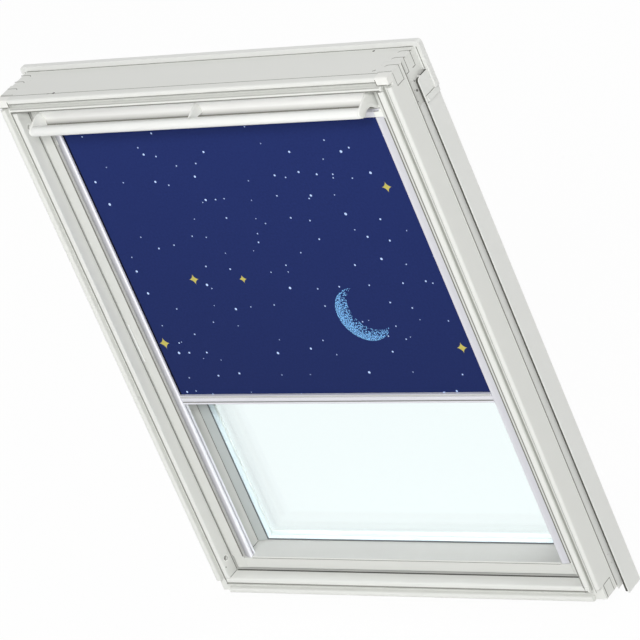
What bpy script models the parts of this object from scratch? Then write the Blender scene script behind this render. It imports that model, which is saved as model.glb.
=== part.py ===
"""White centre-pivot roof window with a blackout roller blind in side channels.

X runs across the window as seen from the room, Y runs out through the roof, and Z runs up
the slope. Depths are given from the plane of the frame's room-side lips. The origin is the
middle of the sill face, the flat underside of the frame's bottom rail.
Sizes are in millimetres and are turned to metres as each mesh is made.
"""

import math

import bmesh
import bpy
from mathutils import Matrix

MM = 0.001
GAP = 0.3
LINE_HALF = 0.8
SMALL_ROUND = 0.8
PAST = 2.0
OVERLAP = 1.0
ARC_STEPS = 4
ROUND_SIDES = 24
SMALL_SIDES = 16

# Frame
FRAME_WIDTH = 780.0
FRAME_HEIGHT = 978.0
FRAME_DEPTH = 96.0
JAMB_FACE = 31.5
HEAD_FACE = 25.5
SILL_FACE = 30.5
OUTER_LIP = 10.0
JAMB_GROOVE = 8.5
HEAD_GROOVE = 6.5
SILL_GROOVE = 8.0
GROOVE_DEPTH = 9.0
LIP_ROUND = 3.5
EDGE_ROUND = 2.0
SIDE_STEP_DEPTH = 46.5
SIDE_STEP = 3.5
SIDE_LINE_DEPTH = 41.8
SIDE_LINE = 1.0
KERF_DEPTH_AT = 14.0
KERF_WIDTH = 0.9
KERF_CUT = 0.8
HOOD_REBATE = 3.0
PILOT_RADIUS = 1.2
PILOT_LENGTH = 9.0
PILOTS_BELOW_TOP = ((9.5, 42.0), (7.5, 57.0), (3.0, 72.5))
PILOTS_ABOVE_FOOT = ((8.0, 54.0), (9.5, 38.0))

# Comb joints at the frame's corners
RAIL_FINGERS = ((17.5, 36.5), (46.5, 57.5), (68.5, 76.5))
SILL_FINGER_HEIGHT = 25.0
CORNER_WIDTH = 20.0
HEAD_CORNER_HEIGHT = 19.0
SILL_CORNER_HEIGHT = 25.0

# Outside sheet metal on the frame
SHEET = 1.6
FOLD_ROUND = 0.9
SIDE_COVER_DEPTH = 36.0
SIDE_COVER_PROUD = 4.5
SIDE_COVER_SHORT = 41.0
SIDE_COVER_CORNER = 6.0
COVER_WEB = 10.0
FLANGE = 1.2
FLANGE_DROP = 8.0
FLANGE_SHORT = 82.0
FLANGE_BEHIND_STEP = 1.0
COVER_DROP = 26.0
COVER_BELOW_FACE = 1.0
COVER_INSET = 30.0
HOOD_RETURN = 7.4
HOOD_PROUD = 8.5
HOOD_SIDE_LENGTH = 73.0
HOOD_CORNER = 5.0
CLIP_HEIGHT = 10.0
CLIP_SET_BACK = 4.0

# Sash
SASH_GAP = 4.5
SASH_ROUND = 1.2
SASH_FACE_DEPTH = 26.0
SASH_BEHIND_GLASS = 0.2
STILE_FACE = 21.0
STILE_WIDTH = 25.5
STILE_LINE = 0.8
STILE_LINE_AHEAD = 1.6
SASH_SILL_HEIGHT = 23.0
SASH_SILL_LINE = 19.4
SASH_SILL_ROUND = 1.8
SASH_HEAD_HEIGHT = 39.5
SASH_HEAD_FRONT = 35.5
COVER_THICKNESS = 2.2
COVER_SHORT = 1.5
COVER_LAP_TOP = 4.0
COVER_LAP_FOOT = 6.0
SEAL_FROM_BACK = 26.0
SEAL_WIDTH = 4.5
SEAL_PROUD = 1.3

# Glass
PANE = 4.0
CAVITY = 12.0
GLASS_BEHIND_CASSETTE = 12.8
GLASS_EDGE = 14.0
GLASS_SIDE_GAP = 2.5
SPACER_WIDTH = 11.0
SPACER_INSET = 2.0
BEAD_DEPTH = 6.0
BEAD_WIDTH = 17.0
BEAD_EDGE = 1.2
BEAD_FLAT = 1.5
BEAD_ROUND = 0.5
GASKET = 1.8

# Pivot
PIVOT_DEPTH = 38.0
PIN_RADIUS = 6.6
PIN_CLEARANCE = 0.5
PIVOT_PLATE_LENGTH = 90.0
PIVOT_PLATE_WIDTH = 26.0
PIVOT_PLATE = 3.0
PIN_REACH = 2.0
PIN_HOLE_DEPTH = 8.0

# Barrel bolt and its bushes
BOLT_DEPTH = 62.8
BOLT_BELOW_TOP = 29.0
BOLT_RADIUS = 3.5
BOLT_LENGTH = 58.0
BOLT_CLEARANCE = 0.4
BOLT_TRAVEL = 12.0
BUSH_RADIUS = 5.0
BUSH_FLANGE = 6.2
BUSH_FLANGE_THICK = 1.2
BUSH_LENGTH = 10.0
VENT_BUSH_DEPTH = 14.6
KNOB_RADIUS = 3.0
KNOB_FROM_END = 14.0
KNOB_SUNK = 2.0
BOLT_END_GAP = 2.0

# Ventilation flap and control bar
HINGE_DEPTH = 30.5
HINGE_BELOW_BAR = 13.5
HINGE_PIN = 2.0
KNUCKLE = 3.8
BAR_DEPTH = -11.5
BAR_BELOW_TOP = 22.5
BAR_RADIUS = 8.5
BAR_END_GAP = 3.5
ARM_THICK = 3.5
MID_ARM_THICK = 3.2
MID_ARM_X = -4.0
COVE_RADIUS = 33.0
FLAP_TOP_GAP = 2.5
FLAP_BACK = 33.2
BACK_ABOVE_HINGE = 6.0
TOP_CHAMFER = 3.0
ARM_TOP_LENGTH = 8.0
PIN_IN_STILE = 9.0
FLAP_SEAL_END = 8.0
FLAP_SEAL_HEIGHT = 4.0
FLAP_SEAL_BELOW = 5.0
COVE_BELOW_BAR = 6.5

# Ventilation slot and lock in the sash head
VENT_END = 28.0
VENT_BELOW_TOP = 31.0
VENT_HEIGHT = 20.0
VENT_BACK = 50.0
FLUE_END = 12.0
FLUE_MIDDLE = 60.0
FLUE_DEPTH = 7.5
FLUE_INSET = 0.5
FILTER_SET_BACK = 3.0
FILTER_THICK = 2.5
FILTER_END = 2.0
LOCK_HALF_LENGTH = 35.0
LOCK_FRONT = 54.0
LOCK_BACK = 66.0
LOCK_HEIGHT = 34.0
TONGUE_HALF_LENGTH = 8.0
TONGUE_THICK = 8.0
TONGUE_LENGTH = 16.0
TONGUE_OUT = 3.0
TONGUE_TRAVEL = 12.0
STRIKE_HALF_LENGTH = 30.0
STRIKE_THICK = 1.5

# Blind
CASSETTE_FRONT = 28.0
CASSETTE_DEPTH = 35.0
CASSETTE_GAP = 1.5
CASSETTE_HEIGHT = 34.0
CASSETTE_FACE = 13.0
CASSETTE_CHAMFER = 4.0
CASSETTE_WALL = 1.6
CHANNEL_WIDTH = 17.7
CHANNEL_DEPTH = 12.0
CHANNEL_WALL = 1.5
CHANNEL_SUNK = 2.7
CHANNEL_ROUND = 0.6
CHANNEL_BEND = 7.0
CHANNEL_BEND_ROUND = 4.0
SLOT_FRONT = 30.8
SLOT_BACK = 34.8
SLOT_LENGTH = 13.5
CLOTH_DEPTH = 32.4
CLOTH_THICK = 0.7
CLOTH_IN_CHANNEL = 8.7
BLIND_DOWN = 488.5
BLIND_BAR_HEIGHT = 17.0
BLIND_BAR_FRONT = 27.5
BLIND_BAR_BACK = 38.0
GLIDE_LENGTH = 10.0
GLIDE_INSET = 1.5
BLIND_BAR_END = 0.8
TUBE_RADIUS = 10.0
TUBE_WALL = 1.2
ROLL_RADIUS = 12.6
PLUG_PIN = 3.0
PLUG_REACH = 5.0
PLUG_LENGTH = 18.0
TUBE_PAST_CLOTH = 0.5
CAP_PAST_CLOTH = 1.5
CLOTH_OVER_ROLL = 3.0
CAP_FACE = 2.6

# Edges and levels worked out from the sizes above
HALF_WIDTH = FRAME_WIDTH / 2
JAMB_INNER = HALF_WIDTH - JAMB_FACE
HEAD_INNER = FRAME_HEIGHT - HEAD_FACE
SASH_HALF_WIDTH = JAMB_INNER - SASH_GAP
SASH_LOW = SILL_FACE + SASH_GAP
SASH_HIGH = HEAD_INNER - SASH_GAP
HOOD_FRONT = FRAME_DEPTH - HOOD_RETURN
HOOD_REBATE_AT = HOOD_FRONT - GAP
HOOD_SIDE_END = FRAME_HEIGHT - HOOD_SIDE_LENGTH
SIDE_COVER_FRONT = FRAME_DEPTH - SIDE_COVER_DEPTH
SIDE_COVER_TOP = FRAME_HEIGHT - SIDE_COVER_SHORT
FLANGE_TOP = FRAME_HEIGHT - FLANGE_SHORT
CLIP_FRONT = SIDE_COVER_FRONT + CLIP_SET_BACK
PIVOT_HEIGHT = (SASH_LOW + SASH_HIGH) / 2
ORIGIN_DEPTH = (LIP_ROUND + SIDE_STEP_DEPTH) / 2
CHANNEL_OUTER = SASH_HALF_WIDTH - STILE_FACE
STILE_INNER = SASH_HALF_WIDTH - STILE_WIDTH
CHANNEL_INNER = CHANNEL_OUTER - CHANNEL_WIDTH
CLOTH_HALF_WIDTH = CHANNEL_INNER + CLOTH_IN_CHANNEL
BAR_HALF_LENGTH = CHANNEL_OUTER - BAR_END_GAP
VENT_HALF_LENGTH = CHANNEL_OUTER - VENT_END
SIDE_INNER = HALF_WIDTH - SIDE_STEP
SASH_SILL_TOP = SASH_LOW + SASH_SILL_HEIGHT
SASH_HEAD_LOW = SASH_HIGH - SASH_HEAD_HEIGHT
BOLT_HEIGHT = SASH_HIGH - BOLT_BELOW_TOP
BAR_HEIGHT = SASH_HIGH - BAR_BELOW_TOP
HINGE_HEIGHT = BAR_HEIGHT - HINGE_BELOW_BAR
FLAP_TOP = SASH_HIGH - FLAP_TOP_GAP
FLAP_LOW_FRONT = BAR_HEIGHT - COVE_BELOW_BAR
VENT_LOW = SASH_HIGH - VENT_BELOW_TOP
VENT_HIGH = VENT_LOW + VENT_HEIGHT
LOCK_LOW = SASH_HIGH - LOCK_HEIGHT
CASSETTE_BACK = CASSETTE_FRONT + CASSETTE_DEPTH
CASSETTE_TOP = SASH_HEAD_LOW - CASSETTE_GAP
CASSETTE_LOW = CASSETTE_TOP - CASSETTE_HEIGHT
CASSETTE_LIP = CASSETTE_TOP - CASSETTE_FACE
CHANNEL_LOW = SASH_SILL_TOP - CHANNEL_SUNK
BLIND_BAR_TOP = CASSETTE_LOW - BLIND_DOWN
GLASS_FRONT = CASSETTE_BACK + GLASS_BEHIND_CASSETTE
GLASS_BACK = GLASS_FRONT + 2 * PANE + CAVITY
SASH_BACK_DEPTH = GLASS_BACK + SASH_BEHIND_GLASS
CHANNEL_BACK = SASH_FACE_DEPTH + CHANNEL_DEPTH
COVER_FACE = HALF_WIDTH + SIDE_COVER_PROUD
COVER_BACK = FRAME_DEPTH + GAP + SHEET
HOOD_FACE = HALF_WIDTH + HOOD_PROUD
HOOD_TOP = FRAME_HEIGHT + HOOD_PROUD
GLASS_HALF_WIDTH = STILE_INNER - GLASS_SIDE_GAP
GLASS_LOW = SASH_SILL_TOP - GLASS_EDGE
GLASS_HIGH = SASH_HEAD_LOW + GLASS_EDGE
BEAD_FRONT = GLASS_FRONT - BEAD_DEPTH
STILE_LINE_DEPTH = BEAD_FRONT - STILE_LINE_AHEAD
SEAL_FRONT = SASH_BACK_DEPTH - SEAL_FROM_BACK
ROLL_DEPTH = CLOTH_DEPTH + CLOTH_THICK + GAP + ROLL_RADIUS
ROLL_HEIGHT = CASSETTE_TOP - CASSETTE_WALL - ROLL_RADIUS - GAP
CLOTH_TOP = ROLL_HEIGHT + CLOTH_OVER_ROLL
BAR_HALF = BAR_HALF_LENGTH - ARM_THICK - GAP
CAP_INNER = CLOTH_HALF_WIDTH + CAP_PAST_CLOTH
CLEAN_BUSH_DEPTH = 2 * PIVOT_DEPTH - BOLT_DEPTH
CLEAN_BUSH_HEIGHT = 2 * PIVOT_HEIGHT - BOLT_HEIGHT

for item in list(bpy.data.objects):
    bpy.data.objects.remove(item, do_unlink=True)

PARTS = bpy.data.collections.new("roof_window_with_blind")
CUTTERS = bpy.data.collections.new("cutters")
for group in (PARTS, CUTTERS):
    bpy.context.scene.collection.children.link(group)
CUTTERS.hide_render = True


# Colours and finishes
def srgb(code):
    """Linear colour from a hex code such as D8D9D4."""
    values = [int(code[i : i + 2], 16) / 255 for i in (0, 2, 4)]
    linear = [v / 12.92 if v <= 0.04045 else ((v + 0.055) / 1.055) ** 2.4 for v in values]
    return (*linear, 1.0)


def finish(name, code, roughness, metallic=0.0):
    material = bpy.data.materials.new(name)
    material.use_nodes = True
    shader = material.node_tree.nodes["Principled BSDF"]
    shader.inputs["Base Color"].default_value = srgb(code)
    shader.inputs["Roughness"].default_value = roughness
    shader.inputs["Metallic"].default_value = metallic
    material.diffuse_color = srgb(code)
    return material


WHITE_FRAME = ("D8D9D4", 0.45)
WHITE_SASH = ("DEDEDA", 0.45)
WHITE_SHEET = ("D2D3D0", 0.38)
ALUMINIUM = ("E4E4EA", 0.35, 0.6)
STEEL = ("9A9A98", 0.4, 0.9)
RUBBER = ("5A5F60", 0.7)
PLASTIC = ("DADAD6", 0.5)
GLASS = ("DDF0F4", 0.05)
CLOTH = ("263066", 0.85)
FOAM = ("8E908E", 0.95)


# Shapes
def y_of(depth):
    """Y of a depth measured from the room-side lips."""
    return depth - ORIGIN_DEPTH


def rounded(corners, steps=ARC_STEPS):
    """Outline through (u, v) or (u, v, radius) corners, the round ones drawn as arcs."""
    outline = []
    count = len(corners)
    for i, corner in enumerate(corners):
        u, v = corner[0], corner[1]
        radius = corner[2] if len(corner) > 2 else 0.0
        if radius <= 0:
            outline.append((u, v))
            continue
        before = corners[i - 1]
        after = corners[(i + 1) % count]
        to_before = math.atan2(before[1] - v, before[0] - u)
        to_after = math.atan2(after[1] - v, after[0] - u)
        half = (to_after - to_before) / 2
        half = math.atan2(math.sin(half), math.cos(half))
        if abs(half) > math.pi / 2:
            half -= math.copysign(math.pi, half)
        reach = radius / math.sin(abs(half))
        middle = to_before + half
        centre = (u + reach * math.cos(middle), v + reach * math.sin(middle))
        turn = math.copysign(math.pi / 2 - abs(half), half)
        for k in range(steps + 1):
            angle = middle + math.pi + turn * (1 - 2 * k / steps)
            outline.append((centre[0] + radius * math.cos(angle), centre[1] + radius * math.sin(angle)))
    return outline


def circle(u, v, radius, sides=ROUND_SIDES):
    step = 2 * math.pi / sides
    return [(u + radius * math.cos(i * step), v + radius * math.sin(i * step)) for i in range(sides)]


def arc(u, v, radius, start, end, steps):
    """Points from one angle to another, in degrees."""
    angles = [math.radians(start + (end - start) * i / steps) for i in range(steps + 1)]
    return [(u + radius * math.cos(a), v + radius * math.sin(a)) for a in angles]


def finished_mesh(name, mesh, group):
    """Welds a mesh, turns its faces outwards and makes it an object."""
    work = bmesh.new()
    work.from_mesh(mesh)
    bmesh.ops.remove_doubles(work, verts=work.verts, dist=1e-6)
    bmesh.ops.recalc_face_normals(work, faces=work.faces)
    work.to_mesh(mesh)
    work.free()
    item = bpy.data.objects.new(name, mesh)
    group.objects.link(item)
    if group == CUTTERS:
        item.hide_render = True
        item.display_type = "WIRE"
    return item


def prism(name, outline, along, low, high, group=None, holes=()):
    """A flat outline drawn as a filled 2D curve and extruded from low to high along one axis.

    The outline is (depth, z) along X, (x, depth) along Z and (x, z) along Y.
    """
    curve = bpy.data.curves.new(name, "CURVE")
    curve.dimensions = "2D"
    curve.fill_mode = "BOTH"
    if along == "Y":
        low, high = y_of(low), y_of(high)
    curve.extrude = (high - low) / 2 * MM
    for loop in (outline, *holes):
        spline = curve.splines.new("POLY")
        spline.points.add(len(loop) - 1)
        for point, (u, v) in zip(spline.points, loop):
            u = y_of(u) if along == "X" else u
            v = y_of(v) if along == "Z" else v
            point.co = (u * MM, v * MM, 0.0, 1.0)
        spline.use_cyclic_u = True
    drawn = bpy.data.objects.new(name, curve)
    bpy.context.scene.collection.objects.link(drawn)
    bpy.context.view_layer.update()
    graph = bpy.context.evaluated_depsgraph_get()
    mesh = bpy.data.meshes.new_from_object(drawn.evaluated_get(graph))
    bpy.data.objects.remove(drawn)
    bpy.data.curves.remove(curve)
    turn = {
        "X": Matrix(((0, 0, 1), (1, 0, 0), (0, 1, 0))),
        "Y": Matrix(((1, 0, 0), (0, 0, -1), (0, 1, 0))),
        "Z": Matrix.Identity(3),
    }[along].to_4x4()
    middle = {"X": (1, 0, 0), "Y": (0, 1, 0), "Z": (0, 0, 1)}[along]
    shift = Matrix.Translation([(low + high) / 2 * MM * part for part in middle])
    mesh.transform(shift @ turn)
    return finished_mesh(name, mesh, group or PARTS)


def block(name, x, depth, z, group=None):
    """A box between two limits on each axis."""
    mesh = bpy.data.meshes.new(name)
    work = bmesh.new()
    bmesh.ops.create_cube(work, size=1.0)
    y = [y_of(d) for d in depth]
    for point in work.verts:
        for axis, (low, high) in enumerate((x, y, z)):
            point.co[axis] = ((low + high) / 2 + point.co[axis] * (high - low)) * MM
    work.to_mesh(mesh)
    work.free()
    return finished_mesh(name, mesh, group or CUTTERS)


def rod(name, x, depth, z, radius, group=None, sides=ROUND_SIDES):
    """A round bar along X, between two values of x."""
    return prism(name, circle(depth, z, radius, sides), "X", x[0], x[1], group or CUTTERS)


def both(side, low, high):
    """A pair of limits on X for the right side, or mirrored for the left."""
    return (low, high) if side > 0 else (-high, -low)


def cut(target, *cutters):
    for cutter in cutters:
        step = target.modifiers.new(cutter.name, "BOOLEAN")
        step.operation = "DIFFERENCE"
        step.object = cutter
    return target


def join(target, *others):
    for other in others:
        step = target.modifiers.new(other.name, "BOOLEAN")
        step.operation = "UNION"
        step.object = other
    return target


def give(material, *items):
    for item in items:
        item.data.materials.clear()
        item.data.materials.append(material)


def carry(name, x, depth, z, items, parent=None):
    """Hangs a moving body's pieces on an empty that lies on its joint's axis."""
    axis = bpy.data.objects.new(name, None)
    PARTS.objects.link(axis)
    axis.empty_display_size = 0.03
    axis.location = (x * MM, y_of(depth) * MM, z * MM)
    bpy.context.view_layer.update()
    if parent:
        axis.parent = parent
        axis.matrix_parent_inverse = parent.matrix_world.inverted()
        bpy.context.view_layer.update()
    for item in items:
        item.parent = axis
        item.matrix_parent_inverse = axis.matrix_world.inverted()
    return axis


def side_name(side):
    return "right" if side > 0 else "left"


# Frame
def finger_bands(inset=0.0):
    """Depth limits of the rails' fingers, drawn in by a clearance."""
    return [(front + inset, back - inset) for front, back in RAIL_FINGERS]


def between_fingers(inset=0.0):
    """Depth limits of the spaces between the rails' fingers, where the jambs' fingers lie."""
    edges = [-PAST]
    for low, high in finger_bands(inset):
        edges += [low, high]
    edges.append(FRAME_DEPTH + PAST)
    return [(edges[i], edges[i + 1]) for i in range(0, len(edges), 2)]


def jamb(side):
    groove_outer = HALF_WIDTH - OUTER_LIP
    groove_inner = groove_outer - JAMB_GROOVE
    corners = [
        (JAMB_INNER, 0, EDGE_ROUND),
        (groove_inner, 0, EDGE_ROUND),
        (groove_inner, GROOVE_DEPTH),
        (groove_outer, GROOVE_DEPTH),
        (groove_outer, 0, EDGE_ROUND),
        (HALF_WIDTH, 0, LIP_ROUND),
        (HALF_WIDTH, SIDE_LINE_DEPTH - LINE_HALF),
        (HALF_WIDTH - SIDE_LINE, SIDE_LINE_DEPTH),
        (HALF_WIDTH, SIDE_LINE_DEPTH + LINE_HALF),
        (HALF_WIDTH, SIDE_STEP_DEPTH, SMALL_ROUND),
        (SIDE_INNER, SIDE_STEP_DEPTH),
        (SIDE_INNER, FRAME_DEPTH),
        (JAMB_INNER, FRAME_DEPTH),
    ]
    outline = [(side * u, v) for u, v in rounded(corners)]
    name = f"frame_{side_name(side)}_jamb"
    piece = prism(name, outline, "Z", 0, FRAME_HEIGHT)
    across = both(side, JAMB_INNER - PAST, HALF_WIDTH + PAST)
    for i, band in enumerate(finger_bands()):
        head = block(f"{name}_head_slot_{i}", across, band, (HEAD_INNER, FRAME_HEIGHT + PAST))
        sill = block(f"{name}_sill_slot_{i}", across, band, (-PAST, SILL_FINGER_HEIGHT))
        cut(piece, head, sill)
    lip = (-PAST, GROOVE_DEPTH)
    inner = both(side, JAMB_INNER - PAST, groove_inner + GAP)
    outer = both(side, groove_inner, HALF_WIDTH + PAST)
    top = FRAME_HEIGHT + PAST
    cut(
        piece,
        block(f"{name}_head_lip", inner, lip, (HEAD_INNER - GAP, top)),
        block(f"{name}_head_corner", outer, lip, (FRAME_HEIGHT - HEAD_CORNER_HEIGHT, top)),
        block(f"{name}_sill_lip", inner, lip, (-PAST, SILL_FACE + GAP)),
        block(f"{name}_sill_corner", outer, lip, (-PAST, SILL_CORNER_HEIGHT)),
    )
    return piece


def pilot_holes(side, jamb_piece, cover):
    """Small holes for fixing screws near the jamb's ends, through the cover's flange at the foot."""
    x = both(side, SIDE_INNER - PILOT_LENGTH, SIDE_INNER + FLANGE + PAST)
    tag = side_name(side)
    places = [(behind, FRAME_HEIGHT - drop, False) for behind, drop in PILOTS_BELOW_TOP]
    places += [(behind, z, True) for behind, z in PILOTS_ABOVE_FOOT]
    for i, (behind, z, through_flange) in enumerate(places):
        depth = SIDE_STEP_DEPTH + behind
        hole = rod(f"pilot_{tag}_{i}", x, depth, z, PILOT_RADIUS, sides=SMALL_SIDES)
        cut(jamb_piece, hole)
        if through_flange:
            cut(cover, hole)


def frame_rail(name, profile, outer_lip, finger_limits=None):
    """A rail between the jambs, with its fingers through them and its lips over their faces."""
    piece = prism(name, rounded(profile), "X", -HALF_WIDTH, HALF_WIDTH)
    z = (-PAST, FRAME_HEIGHT + PAST)
    shoulder = JAMB_INNER - GAP
    lip_end = HALF_WIDTH - OUTER_LIP - JAMB_GROOVE
    for side in (-1, 1):
        tag = f"{name}_{side_name(side)}"
        outer = HALF_WIDTH + PAST
        for i, (low, high) in enumerate(between_fingers(GAP)):
            low = GROOVE_DEPTH - GAP if i == 0 else low
            cut(piece, block(f"{tag}_gap_{i}", both(side, shoulder, outer), (low, high), z))
        ends = both(side, lip_end, outer)
        outer_ends = both(side, HALF_WIDTH - CORNER_WIDTH, outer)
        cut(piece, block(f"{tag}_lip_end", ends, (-PAST, GROOVE_DEPTH), z))
        cut(piece, block(f"{tag}_outer_lip_end", outer_ends, (-PAST, GROOVE_DEPTH), outer_lip))
        back = FRAME_DEPTH + PAST
        cut(piece, block(f"{tag}_step", both(side, SIDE_INNER, outer), (SIDE_STEP_DEPTH, back), z))
        if finger_limits:
            fingers = both(side, shoulder, outer)
            cut(piece, block(f"{tag}_finger_trim", fingers, (GROOVE_DEPTH, back), finger_limits))
    return piece


def frame_head():
    top = FRAME_HEIGHT
    groove_top = top - OUTER_LIP
    groove_low = groove_top - HEAD_GROOVE
    kerf = KERF_WIDTH / 2
    profile = [
        (0, HEAD_INNER, EDGE_ROUND),
        (0, groove_low, EDGE_ROUND),
        (GROOVE_DEPTH, groove_low),
        (GROOVE_DEPTH, groove_top),
        (0, groove_top, EDGE_ROUND),
        (0, top, LIP_ROUND),
        (KERF_DEPTH_AT - kerf, top),
        (KERF_DEPTH_AT, top - KERF_CUT),
        (KERF_DEPTH_AT + kerf, top),
        (HOOD_REBATE_AT, top),
        (HOOD_REBATE_AT, top - HOOD_REBATE),
        (FRAME_DEPTH, top - HOOD_REBATE),
        (FRAME_DEPTH, HEAD_INNER),
    ]
    return frame_rail("frame_top_rail", profile, (groove_low + SMALL_ROUND, top + PAST))


def frame_sill():
    profile = [
        (0, SILL_FACE, EDGE_ROUND),
        (0, OUTER_LIP + SILL_GROOVE, EDGE_ROUND),
        (GROOVE_DEPTH, OUTER_LIP + SILL_GROOVE),
        (GROOVE_DEPTH, OUTER_LIP),
        (0, OUTER_LIP, EDGE_ROUND),
        (0, 0, LIP_ROUND),
        (SIDE_STEP_DEPTH, 0),
        (SIDE_STEP_DEPTH, SIDE_STEP),
        (FRAME_DEPTH, SIDE_STEP),
        (FRAME_DEPTH, SILL_FACE),
    ]
    fingers = (SILL_FINGER_HEIGHT - GAP, FRAME_HEIGHT)
    return frame_rail("frame_bottom_rail", profile, (-PAST, OUTER_LIP + SILL_GROOVE - SMALL_ROUND), fingers)


def side_cover(side):
    """Sheet cover round the outside of a jamb, open towards the frame."""
    back = COVER_BACK
    inner_back = back - SHEET
    inset = HALF_WIDTH - COVER_INSET
    seat = SIDE_INNER + GAP
    skin = COVER_FACE - SHEET
    web = SIDE_COVER_FRONT + COVER_WEB
    corners = [
        (seat, SIDE_STEP_DEPTH + FLANGE_BEHIND_STEP),
        (seat + FLANGE, SIDE_STEP_DEPTH + FLANGE_BEHIND_STEP),
        (seat + FLANGE, web),
        (skin, web),
        (skin, SIDE_COVER_FRONT),
        (COVER_FACE, SIDE_COVER_FRONT, FOLD_ROUND),
        (COVER_FACE, back, FOLD_ROUND),
        (inset, back),
        (inset, inner_back),
        (skin, inner_back),
        (skin, web + SHEET),
        (seat, web + SHEET),
    ]
    outline = [(side * u, v) for u, v in rounded(corners)]
    name = f"{side_name(side)}_side_cover"
    piece = prism(name, outline, "Z", -COVER_DROP, SIDE_COVER_TOP)
    front, top = SIDE_COVER_FRONT, SIDE_COVER_TOP
    radius = SIDE_COVER_CORNER
    corner = [(front - PAST, top + PAST), (front - PAST, top - radius)]
    corner += [(front, top - radius), *arc(front + radius, top - radius, radius, 180, 90, ARC_STEPS)[1:]]
    corner += [(front + radius, top + PAST)]
    span = both(side, SIDE_INNER - PAST, COVER_FACE + PAST)
    cut(piece, prism(f"{name}_corner", corner, "X", span[0], span[1], CUTTERS))
    flange_x = both(side, SIDE_INNER - PAST, skin - GAP)
    for end, z in (("foot", (-COVER_DROP - PAST, -FLANGE_DROP)), ("head", (FLANGE_TOP, top + PAST))):
        cut(piece, block(f"{name}_flange_{end}", flange_x, (SIDE_STEP_DEPTH - PAST, web - GAP), z))
    return piece


def sill_cover():
    """Sheet below the outside edge of the bottom rail, folded forward at its foot."""
    back = COVER_BACK
    profile = [
        (back, SILL_FACE - COVER_BELOW_FACE),
        (back, -COVER_DROP, FOLD_ROUND),
        (HOOD_FRONT, -COVER_DROP),
        (HOOD_FRONT, -COVER_DROP + SHEET),
        (back - SHEET, -COVER_DROP + SHEET),
        (back - SHEET, SILL_FACE - COVER_BELOW_FACE),
    ]
    half = HALF_WIDTH - COVER_INSET - GAP
    return prism("bottom_cover", rounded(profile), "X", -half, half)


def hood():
    """Sheet hood over the head: a back plate, an upstand along the top and a return down each side."""
    back = COVER_BACK
    low = SIDE_COVER_TOP + GAP
    plate = [
        (-HOOD_FACE, low),
        (-HOOD_FACE, HOOD_TOP, HOOD_CORNER),
        (HOOD_FACE, HOOD_TOP, HOOD_CORNER),
        (HOOD_FACE, low),
        (JAMB_INNER, low),
        (JAMB_INNER, HEAD_INNER),
        (-JAMB_INNER, HEAD_INNER),
        (-JAMB_INNER, low),
    ]
    piece = prism("head_hood", rounded(plate), "Y", back - SHEET, back)
    seat = SIDE_INNER + GAP
    rail_seat = FRAME_HEIGHT - HOOD_REBATE + GAP
    front_seat = FRAME_HEIGHT + GAP
    rim = [
        (-HOOD_FACE, low),
        (-HOOD_FACE, HOOD_TOP, HOOD_CORNER),
        (HOOD_FACE, HOOD_TOP, HOOD_CORNER),
        (HOOD_FACE, low),
        (seat, low),
        (seat, front_seat),
        (-seat, front_seat),
        (-seat, low),
    ]
    lip = prism("hood_lip", rounded(rim), "Y", HOOD_FRONT, HOOD_FRONT + SHEET, CUTTERS)
    wall = [
        (-HOOD_FACE, low),
        (-HOOD_FACE, HOOD_TOP, HOOD_CORNER),
        (HOOD_FACE, HOOD_TOP, HOOD_CORNER),
        (HOOD_FACE, low),
        (HOOD_FACE - SHEET, low),
        (HOOD_FACE - SHEET, HOOD_TOP - SHEET, HOOD_CORNER - SHEET),
        (SHEET - HOOD_FACE, HOOD_TOP - SHEET, HOOD_CORNER - SHEET),
        (SHEET - HOOD_FACE, low),
    ]
    rim_wall = prism("hood_wall", rounded(wall), "Y", HOOD_FRONT, back, CUTTERS)
    join(piece, rim_wall, lip)
    filler = [
        (HOOD_REBATE_AT + GAP, rail_seat),
        (back, rail_seat),
        (back, HOOD_TOP - SHEET / 2),
        (HOOD_REBATE_AT + GAP, HOOD_TOP - SHEET / 2),
    ]
    join(piece, prism("hood_seat", filler, "X", -JAMB_INNER, JAMB_INNER, CUTTERS))
    for side in (-1, 1):
        x = both(side, COVER_FACE + GAP, HOOD_FACE)
        leg = block(f"hood_leg_{side_name(side)}", x, (HOOD_FRONT, back), (HOOD_SIDE_END, low + PAST))
        join(piece, leg)
    return piece


def hood_clip(side):
    """Flat strap that holds the foot of the hood's return to the side cover."""
    x = both(side, COVER_FACE + GAP, COVER_FACE + GAP + SHEET)
    high = HOOD_SIDE_END - GAP
    z = (high - CLIP_HEIGHT, high)
    return block(f"hood_clip_{side_name(side)}", x, (CLIP_FRONT, COVER_BACK), z, PARTS)


# Pivot, bushes and strike
def stadium(depth, z, width, length):
    radius = width / 2
    top = arc(depth, z + length / 2 - radius, radius, 0, 180, 8)
    low = arc(depth, z - length / 2 + radius, radius, 180, 360, 8)
    return top + low


def pivot_plate_outline(inset=0.0):
    width = PIVOT_PLATE_WIDTH - 2 * inset
    return stadium(PIVOT_DEPTH, PIVOT_HEIGHT, width, PIVOT_PLATE_LENGTH - 2 * inset)


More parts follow.
